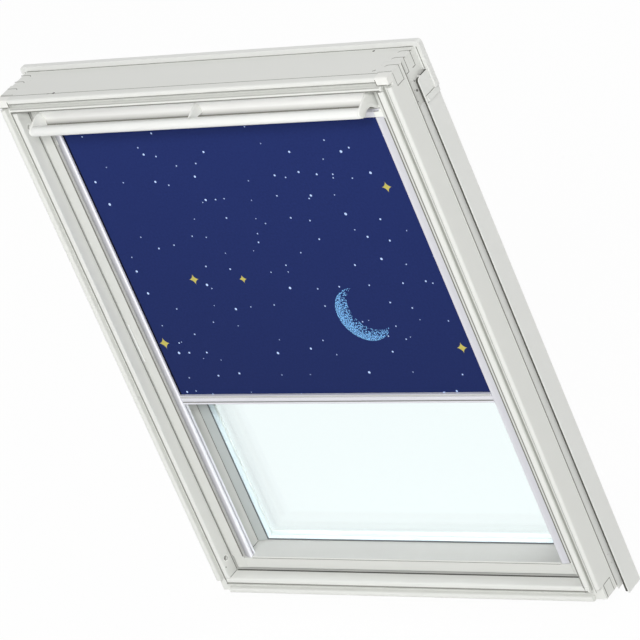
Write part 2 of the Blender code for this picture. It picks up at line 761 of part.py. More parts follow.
def frame_pivot(side, jamb_piece):
    tag = side_name(side)
    pocket = both(side, JAMB_INNER - PAST, JAMB_INNER + PIVOT_PLATE + GAP)
    seat = both(side, JAMB_INNER, JAMB_INNER + PIVOT_PLATE)
    cut(jamb_piece, prism(f"frame_pivot_pocket_{tag}", pivot_plate_outline(), "X", *pocket, CUTTERS))
    hole = both(side, JAMB_INNER - PAST, JAMB_INNER + PIVOT_PLATE + PIN_HOLE_DEPTH)
    hole_radius = PIN_RADIUS + PIN_CLEARANCE
    cutter = rod(f"frame_pivot_hole_{tag}", hole, PIVOT_DEPTH, PIVOT_HEIGHT, hole_radius)
    cut(jamb_piece, cutter)
    plate = prism(f"frame_pivot_{tag}", pivot_plate_outline(GAP), "X", *seat)
    return cut(plate, cutter)


def sash_pivot(side, stile_piece):
    tag = side_name(side)
    pocket = both(side, SASH_HALF_WIDTH - PIVOT_PLATE - GAP, SASH_HALF_WIDTH + PAST)
    seat = both(side, SASH_HALF_WIDTH - PIVOT_PLATE, SASH_HALF_WIDTH)
    cut(stile_piece, prism(f"sash_pivot_pocket_{tag}", pivot_plate_outline(), "X", *pocket, CUTTERS))
    plate = prism(f"sash_pivot_{tag}", pivot_plate_outline(GAP), "X", *seat)
    pin = both(side, SASH_HALF_WIDTH - OVERLAP, JAMB_INNER + PIVOT_PLATE + PIN_REACH)
    return join(plate, rod(f"sash_pivot_pin_{tag}", pin, PIVOT_DEPTH, PIVOT_HEIGHT, PIN_RADIUS))


def bolt_bush(name, depth, z, jamb_piece):
    """Flanged bush in the left jamb's inner side that takes the barrel bolt."""
    face = -JAMB_INNER
    hole = rod(f"{name}_seat", (face - BUSH_LENGTH - GAP, face + OVERLAP), depth, z, BUSH_RADIUS + GAP)
    rim = rod(f"{name}_rim_seat", (face - BUSH_FLANGE_THICK - GAP, face + PAST), depth, z, BUSH_FLANGE + GAP)
    cut(jamb_piece, join(hole, rim))
    bush = rod(name, (face - BUSH_LENGTH, face), depth, z, BUSH_RADIUS, PARTS)
    flange = rod(f"{name}_flange", (face - BUSH_FLANGE_THICK, face), depth, z, BUSH_FLANGE)
    bore_x = (face - BUSH_LENGTH - PAST, face + PAST)
    bore = rod(f"{name}_bore", bore_x, depth, z, BOLT_RADIUS + BOLT_CLEARANCE)
    return cut(join(bush, flange), bore)


def closed_bolt_hole(jamb_piece):
    """Plain hole where the bolt's tip goes when the closed sash is bolted."""
    x = (-JAMB_INNER - BOLT_TRAVEL, -JAMB_INNER + PAST)
    cut(jamb_piece, rod("closed_bolt_hole", x, BOLT_DEPTH, BOLT_HEIGHT, BOLT_RADIUS + OVERLAP))


def strike(head_piece):
    half, thick = STRIKE_HALF_LENGTH, STRIKE_THICK
    depth = (LOCK_FRONT, LOCK_BACK)
    pocket_z = (HEAD_INNER - PAST, HEAD_INNER + thick + GAP)
    pocket = block("strike_pocket", (-half - GAP, half + GAP), (depth[0] - GAP, depth[1] + GAP), pocket_z)
    cut(head_piece, pocket)
    return block("latch_strike", (-half, half), depth, (HEAD_INNER, HEAD_INNER + thick), PARTS)


# Sash
def stile(side):
    corners = [
        (CHANNEL_OUTER, SASH_FACE_DEPTH, SMALL_ROUND),
        (SASH_HALF_WIDTH, SASH_FACE_DEPTH, SASH_ROUND),
        (SASH_HALF_WIDTH, SASH_BACK_DEPTH),
        (STILE_INNER, SASH_BACK_DEPTH),
        (STILE_INNER, STILE_LINE_DEPTH + LINE_HALF),
        (STILE_INNER + STILE_LINE, STILE_LINE_DEPTH),
        (STILE_INNER, STILE_LINE_DEPTH - LINE_HALF),
        (STILE_INNER, CHANNEL_BACK + GAP),
        (CHANNEL_OUTER, CHANNEL_BACK + GAP),
    ]
    outline = [(side * u, v) for u, v in rounded(corners)]
    name = f"sash_{side_name(side)}_stile"
    piece = prism(name, outline, "Z", SASH_LOW, SASH_HIGH)
    inner = both(side, STILE_INNER - PAST, CHANNEL_OUTER)
    all_depth = (SASH_FACE_DEPTH - PAST, SASH_BACK_DEPTH + PAST)
    cut(
        piece,
        block(f"{name}_foot", inner, all_depth, (SASH_LOW - PAST, SASH_SILL_TOP + GAP)),
        block(f"{name}_head", inner, all_depth, (SASH_HEAD_LOW - GAP, SASH_HIGH + PAST)),
        block(
            f"{name}_cassette",
            inner,
            (SASH_FACE_DEPTH - PAST, CASSETTE_BACK + GAP),
            (CASSETTE_LOW - GAP, SASH_HIGH),
        ),
    )
    return piece


def sash_sill():
    face = SASH_FACE_DEPTH
    line = SASH_LOW + SASH_SILL_LINE
    top = SASH_SILL_TOP
    seat = GLASS_LOW - GAP
    profile = [
        (face, SASH_LOW, SASH_ROUND),
        (face, line - LINE_HALF),
        (face + SIDE_LINE, line),
        (face, line + LINE_HALF),
        (face, top, SASH_SILL_ROUND),
        (GLASS_FRONT - GAP, top),
        (GLASS_FRONT - GAP, seat),
        (SASH_BACK_DEPTH, seat),
        (SASH_BACK_DEPTH, SASH_LOW),
    ]
    half = CHANNEL_OUTER - GAP
    piece = prism("sash_bottom_rail", rounded(profile), "X", -half, half)
    for side in (-1, 1):
        x = both(side, CHANNEL_INNER - GAP, half + PAST)
        seat = block(
            f"channel_foot_{side_name(side)}",
            x,
            (face - PAST, CHANNEL_BACK + GAP),
            (CHANNEL_LOW - GAP, top + PAST),
        )
        cut(piece, seat)
    return piece


def sash_head():
    low, high = SASH_HEAD_LOW, SASH_HIGH
    seat = GLASS_HIGH + GAP
    profile = [
        (SASH_HEAD_FRONT, low),
        (SASH_HEAD_FRONT, high),
        (SASH_BACK_DEPTH, high),
        (SASH_BACK_DEPTH, seat),
        (GLASS_FRONT - GAP, seat),
        (GLASS_FRONT - GAP, low),
    ]
    half = CHANNEL_OUTER - GAP
    piece = prism("sash_top_rail", profile, "X", -half, half)
    vent = VENT_HALF_LENGTH
    slot = block("vent_slot", (-vent, vent), (SASH_HEAD_FRONT - PAST, VENT_BACK), (VENT_LOW, VENT_HIGH))
    cut(piece, slot)
    flue_back = VENT_BACK - FLUE_INSET
    flue_depth = (flue_back - FLUE_DEPTH, flue_back)
    for side in (-1, 1):
        x = both(side, FLUE_MIDDLE, vent - FLUE_END)
        flue = block(f"vent_flue_{side_name(side)}", x, flue_depth, (VENT_HIGH - OVERLAP, high + PAST))
        cut(piece, flue)
    lock = block(
        "lock_pocket",
        (-LOCK_HALF_LENGTH - GAP, LOCK_HALF_LENGTH + GAP),
        (LOCK_FRONT - GAP, LOCK_BACK + GAP),
        (LOCK_LOW - GAP, high + PAST),
    )
    return cut(piece, lock)


def lock_case():
    z = (LOCK_LOW, SASH_HIGH - GAP)
    case = block("lock_case", (-LOCK_HALF_LENGTH, LOCK_HALF_LENGTH), (LOCK_FRONT, LOCK_BACK), z, PARTS)
    middle = (LOCK_FRONT + LOCK_BACK) / 2
    half = TONGUE_HALF_LENGTH + GAP
    reach = TONGUE_THICK / 2 + GAP
    floor = SASH_HIGH + TONGUE_OUT - TONGUE_LENGTH - TONGUE_TRAVEL - OVERLAP
    way = block("tongue_way", (-half, half), (middle - reach, middle + reach), (floor, SASH_HIGH + PAST))
    return cut(case, way)


def latch_tongue():
    middle = (LOCK_FRONT + LOCK_BACK) / 2
    half = TONGUE_HALF_LENGTH
    top = SASH_HIGH + TONGUE_OUT
    reach = TONGUE_THICK / 2
    outline = rounded(
        [
            (middle - reach, top - TONGUE_LENGTH),
            (middle - reach, top, 2.0),
            (middle + reach, top, 1.0),
            (middle + reach, top - TONGUE_LENGTH),
        ]
    )
    return prism("latch_tongue", outline, "X", -half, half)


def sash_cover(name, x, z):
    """Outside cover strip of the sash, which holds the glass."""
    depth = (SASH_BACK_DEPTH + GAP, SASH_BACK_DEPTH + GAP + COVER_THICKNESS)
    return block(name, x, depth, z, PARTS)


def sash_covers():
    inner = STILE_INNER - BEAD_WIDTH + OVERLAP
    high = SASH_HIGH - COVER_SHORT
    across = (-inner + GAP, inner - GAP)
    pieces = [
        sash_cover("sash_cover_left", (-SASH_HALF_WIDTH, -inner), (SASH_LOW, high)),
        sash_cover("sash_cover_right", (inner, SASH_HALF_WIDTH), (SASH_LOW, high)),
        sash_cover("sash_cover_top", across, (SASH_HEAD_LOW - COVER_LAP_TOP, high)),
        sash_cover("sash_cover_bottom", across, (SASH_LOW, SASH_SILL_TOP + COVER_LAP_FOOT)),
    ]
    return pieces


def sash_seal():
    """Rubber seal round the edge of the sash, in the gap to the frame."""
    outer = SASH_HALF_WIDTH + SEAL_PROUD
    inner = SASH_HALF_WIDTH + GAP
    low, high = SASH_LOW - SEAL_PROUD, SASH_HIGH + SEAL_PROUD
    ring = [(-outer, low), (outer, low), (outer, high), (-outer, high)]
    hole = [
        (-inner, SASH_LOW - GAP),
        (inner, SASH_LOW - GAP),
        (inner, SASH_HIGH + GAP),
        (-inner, SASH_HIGH + GAP),
    ]
    return prism("sash_seal", ring, "Y", SEAL_FRONT, SEAL_FRONT + SEAL_WIDTH, holes=[hole])


# Glass
def pane(name, front):
    x = (-GLASS_HALF_WIDTH, GLASS_HALF_WIDTH)
    return block(name, x, (front, front + PANE), (GLASS_LOW, GLASS_HIGH), PARTS)


def ring(name, half_width, low, high, width, front, back):
    outer = [(-half_width, low), (half_width, low), (half_width, high), (-half_width, high)]
    inner_half = half_width - width
    inner = [
        (-inner_half, low + width),
        (inner_half, low + width),
        (inner_half, high - width),
        (-inner_half, high - width),
    ]
    return prism(name, outer, "Y", front, back, holes=[inner])


def glass_spacer():
    front = GLASS_FRONT + PANE + GAP
    back = GLASS_BACK - PANE - GAP
    half = GLASS_HALF_WIDTH - SPACER_INSET
    low, high = GLASS_LOW + SPACER_INSET, GLASS_HIGH - SPACER_INSET
    return ring("glass_spacer", half, low, high, SPACER_WIDTH, front, back)


def glazing_gasket():
    half = STILE_INNER - BEAD_WIDTH - GAP
    back = GLASS_FRONT - GAP
    low, high = SASH_SILL_TOP + GAP, SASH_HEAD_LOW - GAP
    return ring("glazing_gasket", half, low, high, GASKET, back - GASKET, back)


def glazing_bead(side):
    """Sloping bead along a stile, between its inner side and the glass."""
    outer = STILE_INNER - GAP
    inner = STILE_INNER - BEAD_WIDTH
    back = GLASS_FRONT - GAP
    corners = [
        (outer, BEAD_FRONT),
        (outer - BEAD_FLAT, BEAD_FRONT, BEAD_ROUND),
        (inner, back - BEAD_EDGE, BEAD_ROUND),
        (inner, back),
        (outer, back),
    ]
    outline = [(side * u, v) for u, v in rounded(corners, 2)]
    name = f"glazing_bead_{side_name(side)}"
    return prism(name, outline, "Z", SASH_SILL_TOP + GAP, SASH_HEAD_LOW - GAP)


# Barrel bolt
def barrel_bolt(stile_piece, head_piece):
    tip = -SASH_HALF_WIDTH + GAP
    end = tip + BOLT_LENGTH
    way = (-SASH_HALF_WIDTH - PAST, end + BOLT_END_GAP)
    hole = rod("bolt_way", way, BOLT_DEPTH, BOLT_HEIGHT, BOLT_RADIUS + BOLT_CLEARANCE)
    sleeve_x = (-SASH_HALF_WIDTH + GAP, -CHANNEL_OUTER - GAP)
    seat_x = (-SASH_HALF_WIDTH - PAST, -CHANNEL_OUTER + PAST)
    sleeve_seat = rod("bolt_sleeve_seat", seat_x, BOLT_DEPTH, BOLT_HEIGHT, BUSH_RADIUS + GAP)
    cut(stile_piece, sleeve_seat)
    sleeve = rod("bolt_sleeve", sleeve_x, BOLT_DEPTH, BOLT_HEIGHT, BUSH_RADIUS, PARTS)
    cut(sleeve, hole)
    cut(head_piece, hole)
    knob_x = end - KNOB_FROM_END
    slack = KNOB_RADIUS + OVERLAP
    slot_x = (knob_x - BOLT_TRAVEL - slack, knob_x + slack)
    slot_depth = (BOLT_DEPTH - slack, BOLT_DEPTH + slack)
    cut(head_piece, block("knob_slot", slot_x, slot_depth, (BOLT_HEIGHT, SASH_HIGH + PAST)))
    bolt = rod("barrel_bolt", (tip, end), BOLT_DEPTH, BOLT_HEIGHT, BOLT_RADIUS, PARTS)
    knob_ring = circle(knob_x, BOLT_DEPTH, KNOB_RADIUS, SMALL_SIDES)
    knob = prism("bolt_knob", knob_ring, "Z", BOLT_HEIGHT, SASH_HIGH - KNOB_SUNK, CUTTERS)
    return join(bolt, knob), sleeve


# Ventilation flap and control bar
def hinge_side():
    """Knuckle and straight back that the flap and its end arms share."""
    knuckle = arc(HINGE_DEPTH, HINGE_HEIGHT, KNUCKLE, 215, 325, 5)
    back = [(FLAP_BACK, HINGE_HEIGHT + BACK_ABOVE_HINGE), (FLAP_BACK, FLAP_TOP - TOP_CHAMFER)]
    return [*knuckle, *back, (FLAP_BACK - TOP_CHAMFER, FLAP_TOP)]


def flap_outline():
    """Cove round the control bar in front, flat at the back, with a knuckle at the hinge."""
    top_angle = math.degrees(math.asin((FLAP_TOP - BAR_HEIGHT) / COVE_RADIUS))
    low_angle = math.degrees(math.asin((FLAP_LOW_FRONT - BAR_HEIGHT) / COVE_RADIUS))
    cove = arc(BAR_DEPTH, BAR_HEIGHT, COVE_RADIUS, top_angle, low_angle, 10)
    return cove + hinge_side()


def arm_front():
    """Front edge of an arm, from the flap's top down to the front of the bar."""
    return [
        (FLAP_BACK - ARM_TOP_LENGTH, FLAP_TOP),
        (BAR_DEPTH + 27.3, BAR_HEIGHT + 18.6),
        (BAR_DEPTH + 22.7, BAR_HEIGHT + 17.6),
        (BAR_DEPTH + 13.2, BAR_HEIGHT + 15.0),
        (BAR_DEPTH + 5.1, BAR_HEIGHT + 11.4),
        (BAR_DEPTH - 3.4, BAR_HEIGHT + 7.9),
    ]


def end_arm(side):
    """End plate of the flap: closes the bar's end and hooks round above the blind."""
    nose = arc(BAR_DEPTH, BAR_HEIGHT, BAR_RADIUS - 0.5, 112, 285, 10)
    arch = [
        (BAR_DEPTH + 5.6, BAR_HEIGHT - 7.8),
        (BAR_DEPTH + 8.2, BAR_HEIGHT - 5.0),
        (BAR_DEPTH + 11.8, BAR_HEIGHT - 3.0),
        (BAR_DEPTH + 16.5, BAR_HEIGHT - 2.3),
        (BAR_DEPTH + 21.5, BAR_HEIGHT - 2.8),
        (BAR_DEPTH + 26.1, BAR_HEIGHT - 5.0),
    ]
    outline = arm_front()[:-1] + nose + arch + hinge_side()
    x = both(side, BAR_HALF_LENGTH - ARM_THICK, BAR_HALF_LENGTH)
    piece = prism(f"end_arm_{side_name(side)}", outline, "X", *x)
    tag = side_name(side)
    hole_x = (x[0] - PAST, x[1] + PAST)
    hole = rod(f"hinge_hole_{tag}", hole_x, HINGE_DEPTH, HINGE_HEIGHT, HINGE_PIN + GAP, sides=SMALL_SIDES)
    return cut(piece, hole)


def middle_arm():
    """Saddle between the cove and the top of the bar at mid-length."""
    saddle = arc(BAR_DEPTH, BAR_HEIGHT, BAR_RADIUS + GAP, 105, 0, 8)
    foot = arc(BAR_DEPTH, BAR_HEIGHT, COVE_RADIUS - GAP, -2, 33, 6)
    outline = arm_front()[2:-1] + saddle + foot
    half = MID_ARM_THICK / 2
    return prism("middle_arm", outline, "X", MID_ARM_X - half, MID_ARM_X + half)


def flap_pin(side, stile_piece):
    """Hinge pin of the flap, held in the sash stile."""
    tag = side_name(side)
    depth, z = HINGE_DEPTH, HINGE_HEIGHT
    reach = CHANNEL_OUTER + PIN_IN_STILE
    x = both(side, BAR_HALF_LENGTH - ARM_THICK + GAP, reach)
    seat = both(side, CHANNEL_OUTER - PAST, reach + GAP)
    cut(stile_piece, rod(f"flap_pin_seat_{tag}", seat, depth, z, HINGE_PIN + GAP, sides=SMALL_SIDES))
    return rod(f"flap_pin_{tag}", x, depth, z, HINGE_PIN, PARTS, sides=SMALL_SIDES)


# Blind
def cassette_outer():
    return [
        (CASSETTE_FRONT, CASSETTE_TOP - CASSETTE_CHAMFER),
        (CASSETTE_FRONT + CASSETTE_CHAMFER, CASSETTE_TOP),
        (CASSETTE_BACK, CASSETTE_TOP),
        (CASSETTE_BACK, CASSETTE_LOW),
    ]


def cassette():
    """Open-fronted casing: the cloth leaves below its front lip."""
    wall = CASSETTE_WALL
    front, back = CASSETTE_FRONT, CASSETTE_BACK
    top, low = CASSETTE_TOP, CASSETTE_LOW
    mouth = CHANNEL_BACK + GAP
    outline = [(front, CASSETTE_LIP), *cassette_outer(), (mouth, low), (mouth, low + wall)]
    outline += [
        (back - wall, low + wall),
        (back - wall, top - wall),
        (front + CASSETTE_CHAMFER + wall / 2, top - wall),
        (front + wall, top - CASSETTE_CHAMFER - wall / 2),
        (front + wall, CASSETTE_LIP),
    ]
    half = CAP_INNER - GAP
    piece = prism("blind_cassette", outline, "X", -half, half)
    for side in (-1, 1):
        x = both(side, CHANNEL_INNER, half + PAST)
        depth = (front - PAST, front + CAP_FACE + GAP)
        cut(piece, block(f"cap_seat_{side_name(side)}", x, depth, (low, top + PAST)))
    return piece


def cassette_cap(side):
    outline = [
        (CASSETTE_FRONT, CASSETTE_LIP),
        *cassette_outer(),
        (SLOT_FRONT + GAP, CASSETTE_LOW),
        (SLOT_FRONT + GAP, CASSETTE_LIP),
    ]
    tag = side_name(side)
    x = both(side, CAP_INNER, CHANNEL_OUTER - GAP)
    piece = prism(f"cassette_cap_{tag}", outline, "X", *x)
    face_x = both(side, CHANNEL_INNER + GAP, CAP_INNER + OVERLAP)
    face_depth = (CASSETTE_FRONT, CASSETTE_FRONT + CAP_FACE)
    face = block(f"cap_face_{tag}", face_x, face_depth, (CASSETTE_LIP, CASSETTE_TOP - CASSETTE_CHAMFER))
    hole_x = both(side, CAP_INNER - PAST, CAP_INNER + PLUG_REACH + GAP)
    hole = rod(f"plug_hole_{tag}", hole_x, ROLL_DEPTH, ROLL_HEIGHT, PLUG_PIN + GAP, sides=SMALL_SIDES)
    return cut(join(piece, face), hole)


def side_channel(side):
    """Channel that guides the edge of the cloth, its front face sloping in towards it."""
    outer = CHANNEL_OUTER - GAP
    inner = CHANNEL_INNER
    front, back = SASH_FACE_DEPTH, CHANNEL_BACK
    lip_front = SLOT_FRONT - CHANNEL_WALL
    end = inner + SLOT_LENGTH
    corners = [
        (outer, front, CHANNEL_ROUND),
        (outer, back),
        (inner, back),
        (inner, SLOT_BACK),
        (end, SLOT_BACK),
        (end, SLOT_FRONT),
        (inner, SLOT_FRONT),
        (inner, lip_front, CHANNEL_ROUND),
        (inner + CHANNEL_BEND, front + CHANNEL_ROUND, CHANNEL_BEND_ROUND),
    ]
    outline = [(side * u, v) for u, v in rounded(corners, 3)]
    name = f"side_channel_{side_name(side)}"
    piece = prism(name, outline, "Z", CHANNEL_LOW, CASSETTE_LIP - GAP)
    x = both(side, inner - PAST, outer + PAST)
    high = (CASSETTE_LOW - GAP, CASSETTE_LIP)
    return cut(piece, block(f"{name}_top", x, (SLOT_FRONT, back + PAST), high))


def blind_bar():
    """Bottom bar: a top lip, a shallow hollow and a lower lip on its front."""
    top = BLIND_BAR_TOP
    low = top - BLIND_BAR_HEIGHT
    front, back = BLIND_BAR_FRONT, BLIND_BAR_BACK
    corners = [
        (front, top, 1.0),
        (back, top, 1.0),
        (back, low, 1.2),
        (front, low, 1.2),
        (front, low + 3.2, 0.5),
        (front + 1.8, low + 3.8),
        (front + 1.6, low + 5.4),
        (front + 0.9, low + 12.6),
        (front, low + 13.6),
    ]
    half = CHANNEL_INNER - BLIND_BAR_END
    return prism("blind_bottom_bar", rounded(corners, 3), "X", -half, half)


def glide(side):
    tag = side_name(side)
    end = CHANNEL_INNER - BLIND_BAR_END
    x = both(side, end + GAP, end + GLIDE_LENGTH)
    low = BLIND_BAR_TOP - BLIND_BAR_HEIGHT
    front, back = SLOT_FRONT + 2 * GAP, SLOT_BACK - 2 * GAP
    foot, top = low + GLIDE_INSET, BLIND_BAR_TOP - GLIDE_INSET
    corners = [(front, foot), (back, foot), (back, top), (front, top)]
    outline = rounded([(*corner, SMALL_ROUND) for corner in corners], 2)
    return prism(f"bar_glide_{tag}", outline, "X", *x)


def roller():
    half = CLOTH_HALF_WIDTH + TUBE_PAST_CLOTH
    depth, z = ROLL_DEPTH, ROLL_HEIGHT
    tube = prism(
        "roller_tube",
        circle(depth, z, TUBE_RADIUS),
        "X",
        -half,
        half,
        holes=[circle(depth, z, TUBE_RADIUS - TUBE_WALL)],
    )
    roll = prism(
        "cloth_roll",
        circle(depth, z, ROLL_RADIUS),
        "X",
        -CLOTH_HALF_WIDTH,
        CLOTH_HALF_WIDTH,
        holes=[circle(depth, z, TUBE_RADIUS + GAP)],
    )
    plugs = []
    for side in (-1, 1):
        tag = side_name(side)
        x = both(side, half - PLUG_LENGTH, half)
        plug = rod(f"roller_plug_{tag}", x, depth, z, TUBE_RADIUS - TUBE_WALL - GAP, PARTS)
        pin = both(side, half - OVERLAP, CAP_INNER + PLUG_REACH)
        plugs.append(join(plug, rod(f"plug_pin_{tag}", pin, depth, z, PLUG_PIN, sides=SMALL_SIDES)))
    return tube, roll, plugs


def build():
    white_frame = finish("painted_pine_frame", *WHITE_FRAME)
    white_sash = finish("painted_pine_sash", *WHITE_SASH)
    sheet = finish("lacquered_sheet", *WHITE_SHEET)
    aluminium = finish("anodised_aluminium", *ALUMINIUM)
    steel = finish("zinc_plated_steel", *STEEL)
    rubber = finish("grey_rubber", *RUBBER)
    plastic = finish("white_plastic", *PLASTIC)
    glass = finish("clear_glass", *GLASS)
    cloth = finish("navy_blackout_cloth", *CLOTH)

    left_jamb, right_jamb = jamb(-1), jamb(1)
    head, sill = frame_head(), frame_sill()
    left_cover, right_cover = side_cover(-1), side_cover(1)
    pilot_holes(-1, left_jamb, left_cover)
    pilot_holes(1, right_jamb, right_cover)
    give(white_frame, left_jamb, right_jamb, head, sill)
    give(sheet, hood(), sill_cover(), left_cover, right_cover, hood_clip(-1), hood_clip(1))
    give(steel, frame_pivot(-1, left_jamb), frame_pivot(1, right_jamb), strike(head))
    vent_bush = bolt_bush("ventilation_bush", VENT_BUSH_DEPTH, BOLT_HEIGHT, left_jamb)
    clean_bush = bolt_bush("cleaning_bush", CLEAN_BUSH_DEPTH, CLEAN_BUSH_HEIGHT, left_jamb)
    give(plastic, vent_bush, clean_bush)
    closed_bolt_hole(left_jamb)

    left_stile, right_stile = stile(-1), stile(1)
    sash_rails = [sash_sill(), sash_head()]
    give(white_sash, left_stile, right_stile, *sash_rails)
    pivots = [sash_pivot(-1, left_stile), sash_pivot(1, right_stile)]
    pins = [flap_pin(-1, left_stile), flap_pin(1, right_stile)]
    bolt, sleeve = barrel_bolt(left_stile, sash_rails[1])
    case = lock_case()
    give(steel, *pivots, *pins, bolt, case)
    panes = [pane("inner_pane", GLASS_FRONT), pane("outer_pane", GLASS_BACK - PANE)]
    give(glass, *panes)
    spacer = glass_spacer()
    beads = [glazing_bead(-1), glazing_bead(1)]
    rubbers = [glazing_gasket(), sash_seal()]
    give(rubber, *rubbers)
    give(plastic, *beads, sleeve)
    covers = sash_covers()
    give(sheet, *covers)
    half = VENT_HALF_LENGTH - FILTER_END
    filter_front = SASH_HEAD_FRONT + FILTER_SET_BACK
    filter_depth = (filter_front, filter_front + FILTER_THICK)
    filter_z = (VENT_LOW + GAP, VENT_HIGH - GAP)
    vent_filter = block("vent_filter", (-half, half), filter_depth, filter_z, PARTS)
    give(finish("grey_filter_foam", *FOAM), vent_filter)

    casing = cassette()
    caps = [cassette_cap(-1), cassette_cap(1)]
    channels = [side_channel(-1), side_channel(1)]
    give(aluminium, casing, *channels, spacer)
    give(plastic, *caps)
    cloth_z = (BLIND_BAR_TOP + GAP, CLOTH_TOP)
    cloth_depth = (CLOTH_DEPTH, CLOTH_DEPTH + CLOTH_THICK)
    panel = block("blackout_cloth", (-CLOTH_HALF_WIDTH, CLOTH_HALF_WIDTH), cloth_depth, cloth_z, PARTS)
    tube, roll, plugs = roller()
    give(cloth, panel, roll)
    bar = blind_bar()
    glides = [glide(-1), glide(1)]
    give(aluminium, bar, tube)
    give(plastic, *glides, *plugs)

    flap = prism("vent_flap", flap_outline(), "X", -BAR_HALF, BAR_HALF)
    handle = rod("control_bar", (-BAR_HALF, BAR_HALF), BAR_DEPTH, BAR_HEIGHT, BAR_RADIUS, PARTS)
    arms = [end_arm(-1), middle_arm(), end_arm(1)]
    seal_half = BAR_HALF - FLAP_SEAL_END
    seal_depth = (FLAP_BACK + GAP, SASH_HEAD_FRONT - GAP)
    seal_top = FLAP_TOP - FLAP_SEAL_BELOW
    seal_z = (seal_top - FLAP_SEAL_HEIGHT, seal_top)
    flap_seal = block("flap_seal", (-seal_half, seal_half), seal_depth, seal_z, PARTS)
    give(plastic, flap, *arms)
    give(sheet, handle)
    give(rubber, flap_seal)
    tongue = latch_tongue()
    give(steel, tongue)

    sash_pieces = [left_stile, right_stile, *sash_rails, *pivots, *pins, sleeve, case, *panes]
    sash_pieces += [spacer, *beads, *rubbers, *covers, vent_filter, casing, *caps, *channels, panel]
    sash_axis = carry("sash_axis", 0, PIVOT_DEPTH, PIVOT_HEIGHT, sash_pieces)
    carry("flap_axis", 0, HINGE_DEPTH, HINGE_HEIGHT, [flap, handle, *arms, flap_seal], sash_axis)
    lock_middle = (LOCK_FRONT + LOCK_BACK) / 2
    carry("tongue_axis", 0, lock_middle, SASH_HIGH, [tongue], sash_axis)
    carry("bolt_axis", -SASH_HALF_WIDTH, BOLT_DEPTH, BOLT_HEIGHT, [bolt], sash_axis)
    carry("blind_axis", 0, CLOTH_DEPTH, BLIND_BAR_TOP, [bar, *glides], sash_axis)
    carry("roller_axis", 0, ROLL_DEPTH, ROLL_HEIGHT, [tube, roll, *plugs], sash_axis)


build()
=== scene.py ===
"""Looks of a white centre-pivot roof window with a printed blackout roller blind.

Sizes are in millimetres: x across the window, depth from the plane of the frame's room-side
lips, z up the window. at() turns them to the model's metres.
"""

import math

import bmesh
import bpy
from mathutils import Matrix, Vector


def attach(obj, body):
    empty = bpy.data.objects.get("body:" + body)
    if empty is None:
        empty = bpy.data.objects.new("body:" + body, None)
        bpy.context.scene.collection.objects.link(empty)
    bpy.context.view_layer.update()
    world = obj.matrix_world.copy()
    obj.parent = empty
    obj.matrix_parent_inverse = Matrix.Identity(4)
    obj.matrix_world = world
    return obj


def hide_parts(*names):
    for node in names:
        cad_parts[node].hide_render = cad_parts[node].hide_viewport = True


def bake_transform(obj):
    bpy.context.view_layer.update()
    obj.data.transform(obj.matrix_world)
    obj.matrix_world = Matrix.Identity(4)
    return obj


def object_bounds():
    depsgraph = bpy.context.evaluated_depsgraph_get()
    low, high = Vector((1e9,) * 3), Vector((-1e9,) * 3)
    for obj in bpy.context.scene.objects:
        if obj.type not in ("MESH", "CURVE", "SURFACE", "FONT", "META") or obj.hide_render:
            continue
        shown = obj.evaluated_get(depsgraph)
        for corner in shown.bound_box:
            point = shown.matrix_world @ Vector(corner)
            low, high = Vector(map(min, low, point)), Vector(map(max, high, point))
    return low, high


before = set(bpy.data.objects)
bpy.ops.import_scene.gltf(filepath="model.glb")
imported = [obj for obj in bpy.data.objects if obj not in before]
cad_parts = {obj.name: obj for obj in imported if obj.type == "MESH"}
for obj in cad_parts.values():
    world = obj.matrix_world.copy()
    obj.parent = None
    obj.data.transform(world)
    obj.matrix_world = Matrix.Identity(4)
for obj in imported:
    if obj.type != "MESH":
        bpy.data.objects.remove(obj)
cad_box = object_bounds()

MM = 0.001
# The model's y = 0 lies this far behind the lips.
LIP_PLANE = 25.0
TURNED_SIDES = 64
SMOOTH_ANGLE = math.radians(32)
# Lines and marks stand this proud of a surface, and are let this far into it.
PROUD, SUNK = 0.06, 0.4
SIDES = ((-1, "left"), (1, "right"))
BOTH = (-1, 1)


def at(x, depth, z):
    """A point of the window in metres."""
    return Vector((x * MM, (depth - LIP_PLANE) * MM, z * MM))


def put(name, data):
    """A new object in the scene."""
    made = bpy.data.objects.new(name, data)
    bpy.context.scene.collection.objects.link(made)
    return made


# Camera, floor and light
LENS, SENSOR_WIDTH, FAR_CLIP = 257.0, 36.0, 200.0
CAMERA_PLACE = (4.4823, -4.7229, 3.6817)
CAMERA_RIGHT = (0.78781, 0.50063, -0.35878)
CAMERA_UP = (0.01625, 0.56541, 0.82465)
CAMERA_BACK = (0.6157, -0.6555, 0.4373)
WHITE = (1, 1, 1, 1)
WORLD_LIGHT = 0.38
FLOOR_SPAN = 60.0
FLOOR_SELF_WHITE = 0.97
# Name, place, size and power of each; all face LIT_POINT.
SOFTBOXES = (
    ("front_softbox", (4.4, -6.9, 6.3), 3.0, 690.0),
    ("back_softbox", (1.6, 3.0, 3.6), 2.6, 30.0),
    ("low_softbox", (-1.4, -3.2, 0.4), 1.6, 14.0),
)
LIT_POINT = (0, 0, 0.45)


def camera():
    lens = bpy.data.cameras.new("camera")
    lens.lens = LENS
    lens.sensor_width = SENSOR_WIDTH
    lens.clip_end = FAR_CLIP
    view = put("camera", lens)
    turn = Matrix((CAMERA_RIGHT, CAMERA_UP, CAMERA_BACK)).transposed().to_4x4()
    view.matrix_world = Matrix.Translation(CAMERA_PLACE) @ turn
    bpy.context.scene.camera = view


def linear(code):
    """Linear colour from an sRGB hex code."""
    values = [int(code[i : i + 2], 16) / 255 for i in (0, 2, 4)]
    return (*[v / 12.92 if v <= 0.04045 else ((v + 0.055) / 1.055) ** 2.4 for v in values], 1.0)


